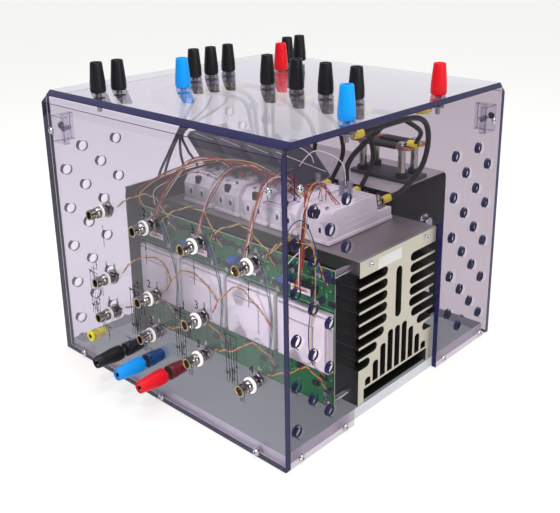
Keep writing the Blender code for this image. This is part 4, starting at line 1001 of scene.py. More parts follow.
# %% [markdown]
# ## Plain yellow socket
# A 4 mm laboratory socket sits low on the left of the front: a yellow moulding
# with a thin flange, a nickel sleeve in its bore and a yellow ring nut behind
# the plate. All three are turned shapes on one axis.

# %% Plain socket low on the left
socket = Piece(JACK_YELLOW, NICKEL)
place = facing((jack.x, FRONT, jack.z), FORWARD)
socket.turned(mm((2.4, 2), (4.8, 2.1), (5.4, 1.8), (5.5, 0.3), (3.9, 0.3), (3.9, -15.5), (3.6, -16),
                 (0, -16)), JACK_YELLOW, place, sides=36)
socket.turned(tube(0.002, 0.0024, -0.0095, 0.0016), NICKEL, place, sides=24)
socket.turned(mm((4, -5.2), (5.6, -5.3), (5.6, -8), (4, -8)), JACK_YELLOW, place, sides=24)
socket.done("yellow_socket_moulding", "case", "yellow_plastic", ["yellow_socket"])

# %% [markdown]
# ## Power modules on the heatsink
# The rectifier and four transistor modules are white mouldings screwed to the
# plate of the heatsink. Each has a raised body with a chamfered nose, screws at
# its ends, two short clear tubes over its pins, and a lower step at the rear with
# two copper tabs and studs. One function builds any of them in its own box of the
# frame, because they differ in width alone.

# %% Module builder
device_names = ["rectifier_module"] + [f"transistor_module_{k}" for k in range(1, 5)]
STEP_Z, MODULE_TOP = 0.1586, 0.1766
CLEAR_COVER = clear("clear_cover", (0.86, 0.86, 0.92), 0.2)


def screw(piece, spot, out, radius, height):
    """A pan head with its washer, seated on a face."""
    shares = ((0, 0.4), (0.36, 0.4), (0.46, 1), (0.8, 0.9), (1, 0.35), (1.25, 0.3))
    profile = [(radius * across, height * up_share) for across, up_share in shares]
    piece.turned(profile + [(radius * 1.25, -0.0004), (0, -0.0004)], STEEL, facing(spot, out), 24,
                 {1: lobed, 2: lobed})


def module(name, wide):
    """One white module on its own box of the frame. It returns its middle in X."""
    low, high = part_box(name)
    middle = (low.x + high.x) / 2
    base, top = low.z, MODULE_TOP
    near, far = low.y, high.y
    made = Piece(WHITE, STEEL, COPPER, NICKEL, LABEL, CLEAR_COVER, SLEEVE)
    made.block((low.x, near, base), (high.x, far, base + 0.0036), WHITE, 0.0006)
    step = far - 0.0225
    outline = [(near + 0.0008, base + 0.003), (far - 0.0008, base + 0.003), (far - 0.0008, STEP_Z),
               (step, STEP_Z), (step - 0.0035, top), (near + 0.0095, top), (near + 0.006, top - 0.003),
               (near + 0.0008, top - 0.01)]
    body = seen_from_right(0, 0, 0)
    made.prism(outline, low.x + 0.001, high.x - 0.001, WHITE, 0.0004, body)
    for x in (low.x + wide * 0.3, high.x - wide * 0.3):
        made.block((x - 0.0026, near - 0.0001, base + 0.0075), (x + 0.0026, near + 0.003, top - 0.0125),
                   WHITE, 0.0004)
        made.block((x - 0.0016, near - 0.0002, base + 0.01), (x + 0.0016, near + 0.0024, base + 0.015),
                   SLEEVE, 0.0003, 1)
        made.turned(mm((0, 0.9), (1.5, 0.9), (1.8, 0.4), (1.8, -1), (0, -1)), STEEL,
                    facing((x, near + 0.0098, top + 0.0002), (0, -0.3, 0.95)), 16)
    for y in (near + 0.0275, step - 0.012):
        made.block((low.x + 0.003, y, top + 0.0004), (high.x - 0.003, y + 0.0007, top + 0.0013), LABEL, 0.0)
    made.prism([(near + 0.014, top - 0.001), (step - 0.006, top - 0.001), (step - 0.0068, top + 0.0011),
                (near + 0.015, top + 0.0011)], low.x + 0.004, high.x - 0.004, WHITE, 0.0004, body)
    made.block((middle - 0.008, near + 0.03, top + 0.0008), (middle + 0.008, near + 0.052, top + 0.0013),
               LABEL, 0.0001, 1)
    for x in (low.x + 0.006, high.x - 0.006):
        made.block((x - 0.0022, near + 0.0006, base + 0.003), (x + 0.0022, near + 0.005, top - 0.0105),
                   WHITE, 0.0005)
        screw(made, (x, near + 0.0052, top - 0.0098), (0, -0.45, 0.9), 0.0017, 0.0012)
    for x in (middle - wide * 0.25, middle + wide * 0.25):
        made.turned(mm((2.1, 1), (3.4, 1), (3.6, 0.6), (3.6, -1), (2.1, -1)), WHITE,
                    facing((x, near + 0.02, top + 0.0008), UPWARD), 24)
        screw(made, (x, near + 0.02, top + 0.0003), UPWARD, 0.0017, 0.0011)
    for x in (middle - 0.007, middle + 0.007):
        made.block((x - 0.0048, far - 0.0195, STEP_Z - 0.0002),
                   (x + 0.0048, far - 0.004, STEP_Z + 0.001), COPPER, 0.0003)
        stud = facing((x, far - 0.011, STEP_Z + 0.001), UPWARD)
        made.prism(hexagon(0.0042), 0.0028, 0.0058, NICKEL, 0.0003, stud, 1)
        made.turned(mm((0, 11.8), (1.8, 11.8), (2.2, 11.3), (2.2, 0), (0, 0)), NICKEL, stud, 16)
        made.turned(tube(0.0023, 0.0049, 0.0021, 0.003), NICKEL, stud, 24)
    for z in (base + 0.0085, base + 0.014, base + 0.0195):
        for x in (low.x + 0.00065, high.x - 0.00095):
            made.block((x, near + 0.022, z), (x + 0.0003, step - 0.012, z + 0.0012), WHITE, 0.0)
    made.block((middle - 0.0028, near + 0.0015, top - 0.0085), (middle + 0.0028, near + 0.0058, top - 0.001),
               SLEEVE, 0.0003, 1)
    for x in (middle - 0.0045, middle + 0.0045):
        made.turned(tube(0.0022, 0.003, 0.0, 0.015), CLEAR_COVER,
                    facing((x, near + 0.044, top + 0.0012), UPWARD), 20)
        made.turned(mm((0, 8), (1, 8), (1.2, 7.6), (1.2, 0), (0, 0)), NICKEL,
                    facing((x, near + 0.044, top + 0.001), UPWARD), 12)
    made.done(name + "_moulding", "case", "white_plastic", [name])
    return middle


module_middles = [module(name, 0.034 if name.startswith("trans") else 0.04) for name in device_names]
print("module middles", [round(x, 4) for x in module_middles])

# %% [markdown]
# ## Snubber capacitors
# Four flat grey boxes lean over the modules on flat metal legs. Their shape in the
# frame is right, but the real ones have rounded edges, a potted open side and a
# thin pale lead that crosses the face, so each is built anew in the frame's place.

# %% Snubbers
TILT, SNUBBER_PITCH = radians(45), 0.0375
for number in range(1, 5):
    low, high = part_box(f"snubber_capacitor_{number}")
    foot_x = module_middles[1] + (number - 2) * SNUBBER_PITCH
    corner = Vector((foot_x + 0.004, 0, MODULE_TOP + 0.0101))
    lying = plane((-cos(TILT), 0, sin(TILT)), (0, 1, 0), (sin(TILT), 0, cos(TILT)), corner)
    middle_y = (low.y + high.y) / 2
    made = Piece(SNUBBER, POTTING, NICKEL, WIRE["white"])
    made.block((0, middle_y - 0.025, -0.008), (0.042, middle_y + 0.025, 0), SNUBBER, 0.0007, 2, lying)
    made.block((-0.0006, middle_y - 0.0235, -0.0068), (0.0004, middle_y + 0.0235, -0.0012), POTTING,
               0.0002, 1, lying)
    for side in (-1, 1):
        y = middle_y + side * 0.0125
        made.block((foot_x - 0.001, y - 0.0025, MODULE_TOP + 0.0003),
                   (foot_x + 0.0004, y + 0.0025, corner.z - 0.001), NICKEL, 0.0002, 1)
        screw(made, (foot_x - 0.0003, y, MODULE_TOP + 0.0006), UPWARD, 0.0018, 0.0012)
    made.turned(rod(0.00035, 0.0, 0.0542), WIRE["white"],
                lying @ facing((0.0385, middle_y - 0.0205, 0.0003), (-0.62, 0.78, 0)), 8)
    made.done(f"snubber_{number}_box", "case", "grey_plastic", [f"snubber_capacitor_{number}"])

# %% [markdown]
# ## Driver board
# A green board stands in front of the heatsink on hexagonal spacers. It is one
# thin block with pale cut edges and white printed lines. Each of its four
# channels has a header near the top, for the wires to its power module, and a
# tree repeats that header.

# %% Board, spacers and headers
board_low, board_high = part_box("driver_board")
driver_boxes = [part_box(f"driver_module_{k}") for k in range(1, 5)]
BOARD_FRONT = driver_boxes[0][1].y + FIT
BOARD_REAR = BOARD_FRONT + 0.0016
BOARD_LOW, BOARD_TOP = board_low.z, 0.1473
channels = [(low.x + high.x) / 2 for low, high in driver_boxes]
board = Piece(BOARD, BOARD_EDGE, STEEL, WHITE_PRINT)
board.block((board_low.x, BOARD_FRONT, BOARD_LOW), (board_high.x, BOARD_REAR, BOARD_TOP), BOARD, 0.0002, 1)
for one in board.mesh.faces:
    one.material_index = 0 if abs(one.normal.y) > 0.5 else 1
for x in (board_low.x + 0.007, board_high.x - 0.007):
    for z in (sink_low.z + 0.014, sink_high.z - 0.007):
        board.prism(hexagon(0.004), 0.0, 0.0276, STEEL, 0.0003, facing((x, BOARD_REAR, z), (0, 1, 0)), 1)
        screw(board, (x, BOARD_FRONT, z), FORWARD, 0.003, 0.0022)
for x in channels:
    for left, right_x, z in ((-0.029, 0.029, 0.0545), (-0.029, 0.029, 0.1115), (-0.02, 0.02, 0.135)):
        board.block((x + left, BOARD_FRONT - 0.00005, z), (x + right_x, BOARD_FRONT + 0.0001, z + 0.0003),
                    WHITE_PRINT, 0.0)
board.done("driver_board_panel", "case", "board_green", ["driver_board"])

header = Piece(SLEEVE, GOLD, WHITE)
header.block((-0.012, -0.004, 0.0), (0.012, 0.004, 0.0088), SLEEVE, 0.0004, 1)
header.block((-0.0108, -0.003, 0.0085), (0.0108, 0.003, 0.0091), WHITE, 0.0002, 1)
for k in range(8):
    header.turned(rod(0.0004, 0.008, 0.0118), GOLD,
                  Matrix.Translation(((k - 3.5) * 0.00254, 0, 0)) @ Matrix.Scale(0.8, 4), 8)
header_shape = header.done("header_shape")
repeated_piece(header_shape, [((x, BOARD_FRONT, 0.126), FORWARD) for x in channels], "board_headers")

# %% [markdown]
# ## Small parts on the board
# Chips, resistors, sleeved capacitors and blue trimmers are soldered on in three
# rows. One shape of each kind is made, and a tree repeats it at places drawn with
# a fixed seed. The places are the same for each channel, because the real board
# repeats its layout four times.

# %% Small parts on the board
chip = Piece(CHIP, STEEL)
chip.block((-0.0036, -0.0022, 0.0004), (0.0036, 0.0022, 0.002), CHIP, 0.0002, 1)
for k in range(4):
    for flip in (-1, 1):
        x, y = -0.003 + k * 0.0018, flip * 0.0021
        chip.block((x, y - 0.0007, 0.0), (x + 0.0005, y + 0.0007, 0.0007), STEEL, 0.0)
chip_shape = chip.done("chip_shape")
resistor = Piece(CHIP, STEEL, WHITE)
resistor.block((-0.001, -0.0006, 0.0), (0.001, 0.0006, 0.0007), CHIP, 0.0001, 1)
for x in (-0.0014, 0.0009):
    resistor.block((x, -0.0006, 0.0), (x + 0.0005, 0.0006, 0.0008), STEEL, 0.0)
resistor_shape = resistor.done("resistor_shape")
can = Piece(CAN, STEEL)
can.turned(mm((0, 7.8), (2.6, 7.8), (2.9, 7.5), (2.9, 1), (2.6, 0.6), (2.9, 0.2), (2.9, 0), (0, 0)),
           CAN, None, 18)
can.turned(rod(0.0024, 0.0076, 0.008), STEEL, None, 18)
can_shape = can.done("can_shape")
trim = Piece(RELAY_BLUE, GOLD)
trim.block((-0.0045, -0.0024, 0.0), (0.0045, 0.0024, 0.0095), RELAY_BLUE, 0.0003, 1)
trim.turned(mm((0, 10.2), (1.1, 10.2), (1.2, 9.4), (0, 9.4)), GOLD, Matrix.Translation((0.003, 0, 0)), 12)
trim_shape = trim.done("trim_shape")
dice = random.Random(11)
free_rows = [(0.116, 0.119), (0.137, 0.144), (0.03, 0.052)]
spots = {"chips": [], "resistors": [], "cans": [], "trimmers": []}
layout = []
for z_low, z_high in free_rows:
    for k in range(7):
        layout.append((-0.027 + k * 0.009 + dice.uniform(-0.001, 0.001), dice.uniform(z_low, z_high),
                       dice.random()))
for x in channels:
    for dx, z, kind in layout:
        spot = ((x + dx, BOARD_FRONT, z), FORWARD)
        if kind < 0.3:
            spots["chips"].append(spot)
        elif kind < 0.8:
            spots["resistors"].append(spot)
            spots["resistors"].append(((x + dx, BOARD_FRONT, z + 0.0022), FORWARD))
        else:
            spots["cans"].append(spot)
    spots["trimmers"].append(((x - 0.021, BOARD_FRONT, 0.128), FORWARD))
repeated_piece(chip_shape, spots["chips"], "board_chips")
repeated_piece(resistor_shape, spots["resistors"], "board_resistors")
repeated_piece(can_shape, spots["cans"], "board_capacitors")
repeated_piece(trim_shape, spots["trimmers"], "board_trimmers")
print("board parts", {kind: len(found) for kind, found in spots.items()})

# %% [markdown]
# ## Driver modules
# A driver is a white potted box with two raised steps, a thin grey row of painted
# shade where each step begins, and a row of pins along its lower edge. The steps
# are rounded blocks stacked towards the front. A table gives each, in millimetres:
# how far it is set in at the sides and at the ends, where it starts and stops, its
# finish, and the width and the steps of its rounding.

# %% Driver modules
# The two thin grey rows are painted shade at the foot of each step.
DRIVER_STEPS = ((0, 0, 0, 6.8, DRIVER_WHITE, 1.1, 3), (3, 3, 6, 10, DRIVER_WHITE, 1.1, 3),
                (2.4, 2.4, 6.6, 7, STEP_SHADE, 0, 1), (13.9, 12.9, 9.8, 10.1, STEP_SHADE, 0, 1),
                (14.5, 13.5, 9.5, 12, DRIVER_WHITE, 0.9, 3),
                (17.5, 16.5, 11.8, 12.12, DRIVER_WHITE, 0.1, 1))
for number, (low, high) in enumerate(driver_boxes):
    made = Piece(DRIVER_WHITE, STEEL)
    outer = seen_in_front((low.x + high.x) / 2, high.y, 0)
    half, bottom, top = 0.029, low.z, high.z
    for aside, above, near, far, finish, bevel, steps in DRIVER_STEPS:
        made.block((aside / 1000 - half, bottom + above / 1000, near / 1000),
                   (half - aside / 1000, top - above / 1000, far / 1000), finish, bevel / 1000, steps, outer)
    for k in range(10):
        u = -half + 0.0045 + k * (2 * half - 0.009) / 9
        made.block((u - 0.0006, bottom - 0.0001, 0.0005), (u + 0.0006, bottom + 0.0012, 0.004), STEEL,
                   0.0001, 1, outer)
    made.done(f"driver_{number + 1}_moulding", "case", "white_plastic", [f"driver_module_{number + 1}"])

# %% [markdown]
# ## Fan
# The fan draws air in at the left. Its frame is a square moulding with a round
# throat, screw ears and four struts. The rotor has seven curved blades, swept
# so that they read as a real fan. Blades and struts repeat round the axis.

# %% Fan frame and rotor
fan_low, fan_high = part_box("fan_frame")
fan_axis = Vector((0, (fan_low.y + fan_high.y) / 2, (fan_low.z + fan_high.z) / 2))
HALF, THROAT, EAR = 0.06, 0.0582, 0.054


def throat_plate(piece, x_low, x_high, finish):
    """A square plate with a round throat, made of quads round the axis."""
    shell = bmesh.new()
    steps = 64
    rings = []
    for x, outer in ((x_low, True), (x_high, True), (x_high, False), (x_low, False)):
        ring = []
        for k in range(steps):
            a = 2 * pi * k / steps
            if outer:
                scale = min(HALF / max(abs(cos(a)), abs(sin(a))), HALF * 1.345)
            else:
                scale = THROAT
            ring.append(shell.verts.new((x, scale * cos(a), scale * sin(a))))
        rings.append(ring)
    for first, second in zip(rings, rings[1:] + rings[:1]):
        for k in range(steps):
            nxt = (k + 1) % steps
            shell.faces.new((first[k], first[nxt], second[nxt], second[k]))
    piece.add(shell, finish, Matrix.Translation(fan_axis))


fan = Piece(FAN_BLACK, STEEL)
throat_plate(fan, fan_low.x, fan_low.x + 0.0045, FAN_BLACK)
throat_plate(fan, fan_high.x - 0.0045, fan_high.x, FAN_BLACK)
hoop = seen_from_right(fan_low.x, fan_axis.y, fan_axis.z)
fan.turned(tube(THROAT, THROAT + 0.0014, 0.0338, 0.0042), FAN_BLACK, hoop, 64)
fan.turned(mm((0, 0), (22.5, 0), (23, 0.5), (23, 3), (0, 3)), FAN_BLACK, hoop, 40)
for k in range(4):
    a = radians(45 + 90 * k)
    arm = hoop @ Matrix.Rotation(a, 4, "Z")
    ear_x, ear_y = (EAR if cos(a) > 0 else -EAR), (EAR if sin(a) > 0 else -EAR)
    fan.block((0.0215, -0.003, 0.0), (THROAT + 0.0006, 0.003, 0.003), FAN_BLACK, 0.0007, 2, arm)
    ear = hoop @ Matrix.Translation((ear_x, ear_y, 0))
    fan.turned(mm((0, 1.6), (1.8, 1.6), (3.4, 0.5), (3.6, 0), (3.6, -1.6), (1.6, -1.8), (1.3, -0.9),
                  (0, -0.9)), STEEL, ear, 20)
    fan.turned(tube(0.0024, 0.0052, 0.034, 0.004), FAN_BLACK, ear, 20)
fan.done("fan_housing", "case", "dark_plastic", ["fan_frame"])

rotor = Piece(FAN_BLACK, LABEL)
hub_left, hub_right = fan_low.x + 0.0033, fan_high.x - 0.0015
spin = seen_from_right(0, fan_axis.y, fan_axis.z)
rotor.turned([(0, hub_right), (0.0205, hub_right), (0.0226, hub_right - 0.001),
              (0.023, hub_right - 0.003), (0.023, hub_left), (0.0205, hub_left), (0, hub_left)],
             FAN_BLACK, spin, 48)
rotor.turned(rod(0.014, hub_right - 0.0002, hub_right + 0.0001), LABEL, spin, 32)
middle_x = (hub_left + hub_right) / 2
BLADES, ROOT, TIP, BLADE_HALF = 7, 0.0224, 0.0538, 0.0007
ROWS, COLUMNS = 6, 7
for blade in range(BLADES):
    shell = bmesh.new()
    grid = []
    for i in range(ROWS + 1):
        share = i / ROWS
        radius = ROOT + (TIP - ROOT) * share
        pitch, chord = radians(56 - 10 * share), 0.031 + 0.006 * share
        row = []
        for j in range(COLUMNS + 1):
            t = j / COLUMNS - 0.5
            curl = 0.0032 * (1 - 4 * t * t)
            side_way = t * chord * cos(pitch) + curl + 0.005 * share ** 2
            row.append((middle_x + t * chord * sin(pitch) * 0.98, radius,
                        2 * pi * blade / BLADES + side_way / radius))
        grid.append(row)
    rings = []
    for thick in (-BLADE_HALF, BLADE_HALF):
        sheet = []
        for row in grid:
            sheet.append([shell.verts.new((x, -radius * sin(phi + thick / radius),
                                           radius * cos(phi + thick / radius))) for x, radius, phi in row])
        rings.append(sheet)
    for i in range(ROWS):
        for j in range(COLUMNS):
            for sheet in rings:
                shell.faces.new((sheet[i][j], sheet[i + 1][j], sheet[i + 1][j + 1], sheet[i][j + 1]))
    a, b = rings
    for i in range(ROWS):
        for j in (0, COLUMNS):
            shell.faces.new((a[i][j], a[i + 1][j], b[i + 1][j], b[i][j]))
    for j in range(COLUMNS):
        for i in (0, ROWS):
            shell.faces.new((a[i][j], a[i][j + 1], b[i][j + 1], b[i][j]))
    rotor.add(shell, FAN_BLACK, Matrix.Translation((0, fan_axis.y, fan_axis.z)))
rotor.done("fan_rotor_moulding", "rotor", "dark_plastic", ["fan_rotor"])
print("blades", BLADES)

# %% [markdown]
# ## Sheet metal and link capacitors
# The heatsink, the bulkhead and the bent cover keep their shapes from the frame
# and get their finishes. The capacitors show through the rear panel: sleeved
# cans with a rolled rim, each turned from one profile and clamped in saddles.

# %% Carried-over nodes
for name, finish in (("heatsink", SINK), ("fan_bulkhead", BLACK_SHEET), ("capacitor_cover", BLACK_SHEET)):
    nodes[name].data.materials.clear()
    nodes[name].data.materials.append(finish)

sink_end = Piece(STEEL, LABEL)
for y in (-0.03, 0.052):
    screw(sink_end, (sink_high.x, y, sink_high.z - 0.006), (1, 0, 0), 0.0026, 0.0018)
sink_end.block((sink_high.x - 0.0002, -0.02, sink_high.z - 0.014),
               (sink_high.x + 0.0001, 0.014, sink_high.z - 0.004), LABEL, 0.0)
sink_end.done("sink_end_screws", "case", "nickel")
# Painted shade: a thin dark sheet on the base under the heatsink stands for the shade in the channel there.
shade_sheet = Piece(SLEEVE)
shade_sheet.block((sink_low.x + 0.004, sink_low.y + 0.008, base_high.z + 0.00002),
          (sink_high.x - 0.003, sink_high.y - 0.008, base_high.z + 0.0006), SLEEVE, 0.0001, 1)
shade_sheet.done("sink_pad", "case", "dark_plastic")

cover_low, cover_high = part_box("capacitor_cover")
for name in ("link_capacitor_lower", "link_capacitor_upper"):
    low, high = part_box(name)
    y, z = (low.y + high.y) / 2, high.z - 0.037
    left, end = low.x, cover_high.x - 0.0023
    lay = seen_from_right(0, y, z)
    made = Piece(CAN, STEEL, SLEEVE, LABEL)
    made.turned([(0, end), (0.03, end), (0.031, end - 0.0004), (0.0325, end - 0.0025),
                 (0.0345, end - 0.001), (0.0362, end - 0.0014), (0.0368, end - 0.003),
                 (0.0364, end - 0.006), (0.0346, end - 0.008), (0.0348, end - 0.01),
                 (0.0369, end - 0.012), (0.0369, left + 0.003), (0.036, left + 0.0008), (0.0335, left),
                 (0, left)], CAN, lay, 64)
    made.turned(tube(0.0302, 0.0312, end - 0.001, end + 0.0001), STEEL, lay, 48)
    made.turned([(0, high.x), (0.0054, high.x), (0.006, high.x - 0.0006), (0.006, end), (0, end)],
                STEEL, lay, 28)
    made.prism(hexagon(0.0095), cover_high.x + FIT, cover_high.x + FIT + 0.006, STEEL, 0.0005, lay, 1)
    for x in (left + 0.03, end - 0.048):
        made.block((x, y - 0.0185, low.z), (x + 0.018, y + 0.0185, z - 0.03), SLEEVE, 0.0008, 2)
        made.turned([(0.0369, x + 0.018), (0.0373, x + 0.0178), (0.0373, x + 0.0002), (0.0369, x)],
                    STEEL, lay, 48)
    made.done(name + "_can", "case", "capacitor_can", [name])

# %% [markdown]
# ## Link bars
# Two copper bars lie over the cover on round insulating posts. Each is sleeved
# in the middle and held by a nut at either end. One loop makes both bars, one on
# each side of the middle.

# %% Link bars over the cover
low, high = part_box("link_bar_set")
made = Piece(COPPER, SLEEVE, NICKEL, STEEL, SNUBBER)
made.block((low.x, low.y, low.z), (high.x, high.y, low.z + 0.004), SNUBBER, 0.0005)
bar_z = high.z - 0.003
for side in (-1, 1):
    y = (low.y + high.y) / 2 + side * 0.011
    made.block((low.x, y - 0.006, bar_z), (high.x, y + 0.006, high.z), COPPER, 0.0005)
    made.block((low.x + 0.02, y - 0.0066, bar_z - 0.0006), (high.x - 0.016, y + 0.0066, high.z + 0.0002),
               SLEEVE, 0.0006)
    for x in (low.x + 0.012, high.x - 0.012):
        made.prism(hexagon(0.0042), low.z + 0.004, bar_z - 0.0016, NICKEL, 0.0004,
                   Matrix.Translation((x, y, 0)), 1)
        made.turned(mm((0, 5), (5.6, 5), (6, 4.4), (6, 0), (0, 0)), SLEEVE,
                    Matrix.Translation((x, y, low.z + 0.0038)), 24)
        made.turned(rod(0.005, -0.0016, 0.0), NICKEL, Matrix.Translation((x, y, bar_z)), 24)
        made.prism(hexagon(0.0045), high.z, high.z + 0.0034, STEEL, 0.0004,
                   Matrix.Translation((x, y, 0)), 1)
made.done("link_bars", "case", "copper", ["link_bar_set"])
print("link bars at", round(bar_z, 4))

# %% [markdown]
# ## Heavy cables
# Black cables with yellow-sleeved ring lugs run from the studs and bars up to
# the terminals under the lid. A wire is swept along each route, and a lug sits at
# each end: a flat ring on its stud, a short neck and a sleeve that grips the
# cable. The two long link cables follow shares of the way between their ends.

# %% Cables and lugs
def lug(piece, stud, toward, level):
    """A ring lug on a stud, its sleeve pointing towards a cable's end."""
    flat = Vector((toward.x - stud.x, toward.y - stud.y, 0)).normalized()
    across = Vector((-flat.y, flat.x, 0))
    lying = plane(flat, across, (0, 0, 1), (stud.x, stud.y, stud.z))
    piece.turned(mm((2.4, 1.4), (5.2, 1.4), (5.5, 1.1), (5.5, 0), (2.4, 0)), NICKEL, lying, 28)
    piece.block((0.0045, -0.0034, 0.0001), (0.0095, 0.0034, 0.0013), NICKEL, 0.0003, 1, lying)
    grip = facing(Vector((stud.x, stud.y, level)) + flat * 0.0072, flat)
    piece.turned(mm((2.4, 11.8), (3.6, 11.8), (3.9, 11), (3.7, 6), (3.6, 1.8), (3.2, 0), (1.8, 0)),
                 YELLOW, grip, 24)
    piece.turned(rod(0.0024, -0.001, 0.002), NICKEL, grip, 20)


LEAD = 0.0145
lugs = Piece(NICKEL, YELLOW)


def beside(spot, degrees, z):
    """A cable's end, one lug's length from its stud."""
    return Vector((spot[0] + LEAD * cos(radians(degrees)), spot[1] + LEAD * sin(radians(degrees)), z))


def cable(stud, angle, tail, upper_angle, middle_points):
    """The route of a cable from a stud to a terminal's tail, with its lugs."""
    start = beside(stud, angle, stud[2] + 0.0036)
    end = beside(tail, upper_angle, INNER_TOP - 0.0085)
    lug(lugs, Vector(stud), start, start.z)
    lug(lugs, Vector((tail[0], tail[1], INNER_TOP - 0.0064)), end, end.z)
    return [start, *middle_points, end]


REAR_SHARES = ((0.055, -0.056, 0.013), (0.173, -0.102, 0.06), (0.311, -0.144, 0.147),
               (0.477, -0.171, 0.267), (0.621, -0.178, 0.42), (0.721, -0.159, 0.584),
               (0.799, -0.111, 0.737), (0.865, -0.02, 0.868), (0.91, 0.114, 0.95), (0.954, 0.297, 0.988),
               (0.987, 0.507, 0.999), (1.001, 0.737, 1.0))
FRONT_SHARES = ((-0.032, -0.043, 0.013), (-0.068, -0.193, 0.087), (-0.039, -0.488, 0.202),
                (0.039, -0.913, 0.344), (0.182, -1.24, 0.486), (0.355, -1.338, 0.617),
                (0.529, -1.175, 0.748), (0.687, -0.749, 0.879), (0.798, -0.16, 0.966), (0.892, 0.494, 1.0))


def shared_cable(stud, angle, cap, upper_angle, shares, name, node):
    """A cable whose middle points are shares of the way between its ends."""
    start, end = cable(stud, angle, joints[cap + "_turn"], upper_angle, [])
    middle = [start + (end - start) * Vector(share) for share in shares]
    wires([[start, *middle, end]], 0.0025, CABLE, name, count=70, sides=16, replaces=[node])


STUD_Y, STUD_Z = 0.04735, STEP_Z + 0.0012
shared_cable((module_middles[4] + 0.007, STUD_Y, STUD_Z), 90, "blue_cap_link", 90, REAR_SHARES,
             "rear_link_cable", "link_cable_rear")
shared_cable((module_middles[4] - 0.007, STUD_Y, STUD_Z), 180, "red_cap_link", 225, FRONT_SHARES,
             "front_link_cable", "link_cable_front")

heavy = []
for number in (1, 2, 3):
    tail = joints[f"black_cap_output_{number}_turn"]
    x = module_middles[number] + 0.007
    bow = 0.02 + 0.004 * number
    middle = steps_from((x, STUD_Y, STUD_Z), (2, 24, 10), (6, 34, 34), (4, 26, 62))
    middle.append(((x + tail.x) / 2, (STUD_Y + tail.y) / 2 + bow * 0.6, STUD_Z + 0.084))
    heavy.append(cable((x, STUD_Y, STUD_Z), 90, tail, 90, middle))
link_y = cover_low.y + 0.036
heavy.append(cable((0.0811, link_y, 0.204), 0, joints["black_cap_output_4_turn"], 90,
                   steps_from((0, link_y, 0), (101, -4, 213), (112, -16, 226), (113, -40, 240),
                              (104, -58, 250))))
for number, x_foot in ((1, -0.082), (2, -0.074), (3, -0.06)):
    tail = joints[f"black_cap_supply_{number}_turn"]
    stud = (module_middles[0] - 0.007 + 0.0035 * number, STUD_Y, STUD_Z)
    middle = steps_from((x_foot, STUD_Y, STUD_Z), (-4, 22, 12), (-12, 24, 44), (0, 4 * number, 74))
    middle.append((tail.x + 0.034, tail.y + 0.012, INNER_TOP - 0.011))
    heavy.append(cable(stud, 100 + 15 * number, tail, 15, middle))
wires(heavy, 0.0023, CABLE, "power_cables", count=48, sides=12)
lugs.done("cable_lugs", "case", "yellow_plastic")
print("heavy cables", len(heavy) + 2)

# %% [markdown]
# ## Signal wiring
# Thin coloured wires rise from each header in a loose bundle and arch over the
# heatsink to the module behind. Two more bundles come from the left end. The
# routes are smooth curves with a little seeded scatter, so that no two wires
# lie quite alike.

# %% Bundles from the board to the modules
dice = random.Random(5)
routes = {colour: [] for colour in WIRE}
ORDER = ("red", "yellow", "brown", "white", "red", "orange", "red")


def wander(amount):
    return Vector([dice.uniform(-amount, amount) for axis in range(3)])


def bundle(start, points, end, colours, spread=0.0026, fan_out=0.004):
    """Wires that leave side by side, run together and part again."""
    for index, colour in enumerate(colours):
        offset = index - (len(colours) - 1) / 2
        route = [Vector(start) + Vector((offset * 0.00254, 0, 0))]
        route += [Vector(point) + wander(spread) for point in points]
        route.append(Vector(end) + Vector((offset * fan_out, 0, 0)) + wander(0.0006))
        routes[colour].append(route)


for number, x in enumerate(channels):
    module_x = module_middles[number + 1]
    gap = module_x - x
    bundle((x, BOARD_FRONT - 0.0095, 0.1265), [(x + 0.004, BOARD_FRONT - 0.0165, 0.134),
                                               (x + 0.008 + gap * 0.06, BOARD_FRONT - 0.0145, 0.156),
                                               (x + gap * 0.25 + 0.006, BOARD_FRONT - 0.002, 0.183),
                                               (x + gap * 0.55, BOARD_FRONT + 0.02, 0.201),
                                               (x + gap * 0.85, BOARD_FRONT + 0.046, 0.198)],
           (module_x, BOARD_FRONT + 0.06, 0.179), ORDER)
from_left = steps_from((0, 0, 0), (-98, -80, 150), (-90, -85, 168), (-60, -78, 190), (-20, -62, 205),
                       (20, -50, 209), (52, -40, 200), (64, -26, 180))
bundle(from_left[0], from_left[1:-1], from_left[-1], ("red", "orange", "brown", "yellow"), 0.003)
from_left = steps_from((0, 0, 0), (-92, -70, 150), (-86, -68, 166), (-70, -58, 182), (-45, -46, 188),
                       (-28, -34, 179))
bundle(from_left[0], from_left[1:-1], from_left[-1], ("red", "brown", "white"), 0.003)

# %% [markdown]
# ## Twisted pairs and single wires
# Every coaxial socket has two wires twisted round each other, which swing down
# to the board. A smooth base line is sampled, and each wire winds round it half a
# turn from the other. The single wires after them hang in front of the board,
# arch over the modules, or pass round the board's right edge.

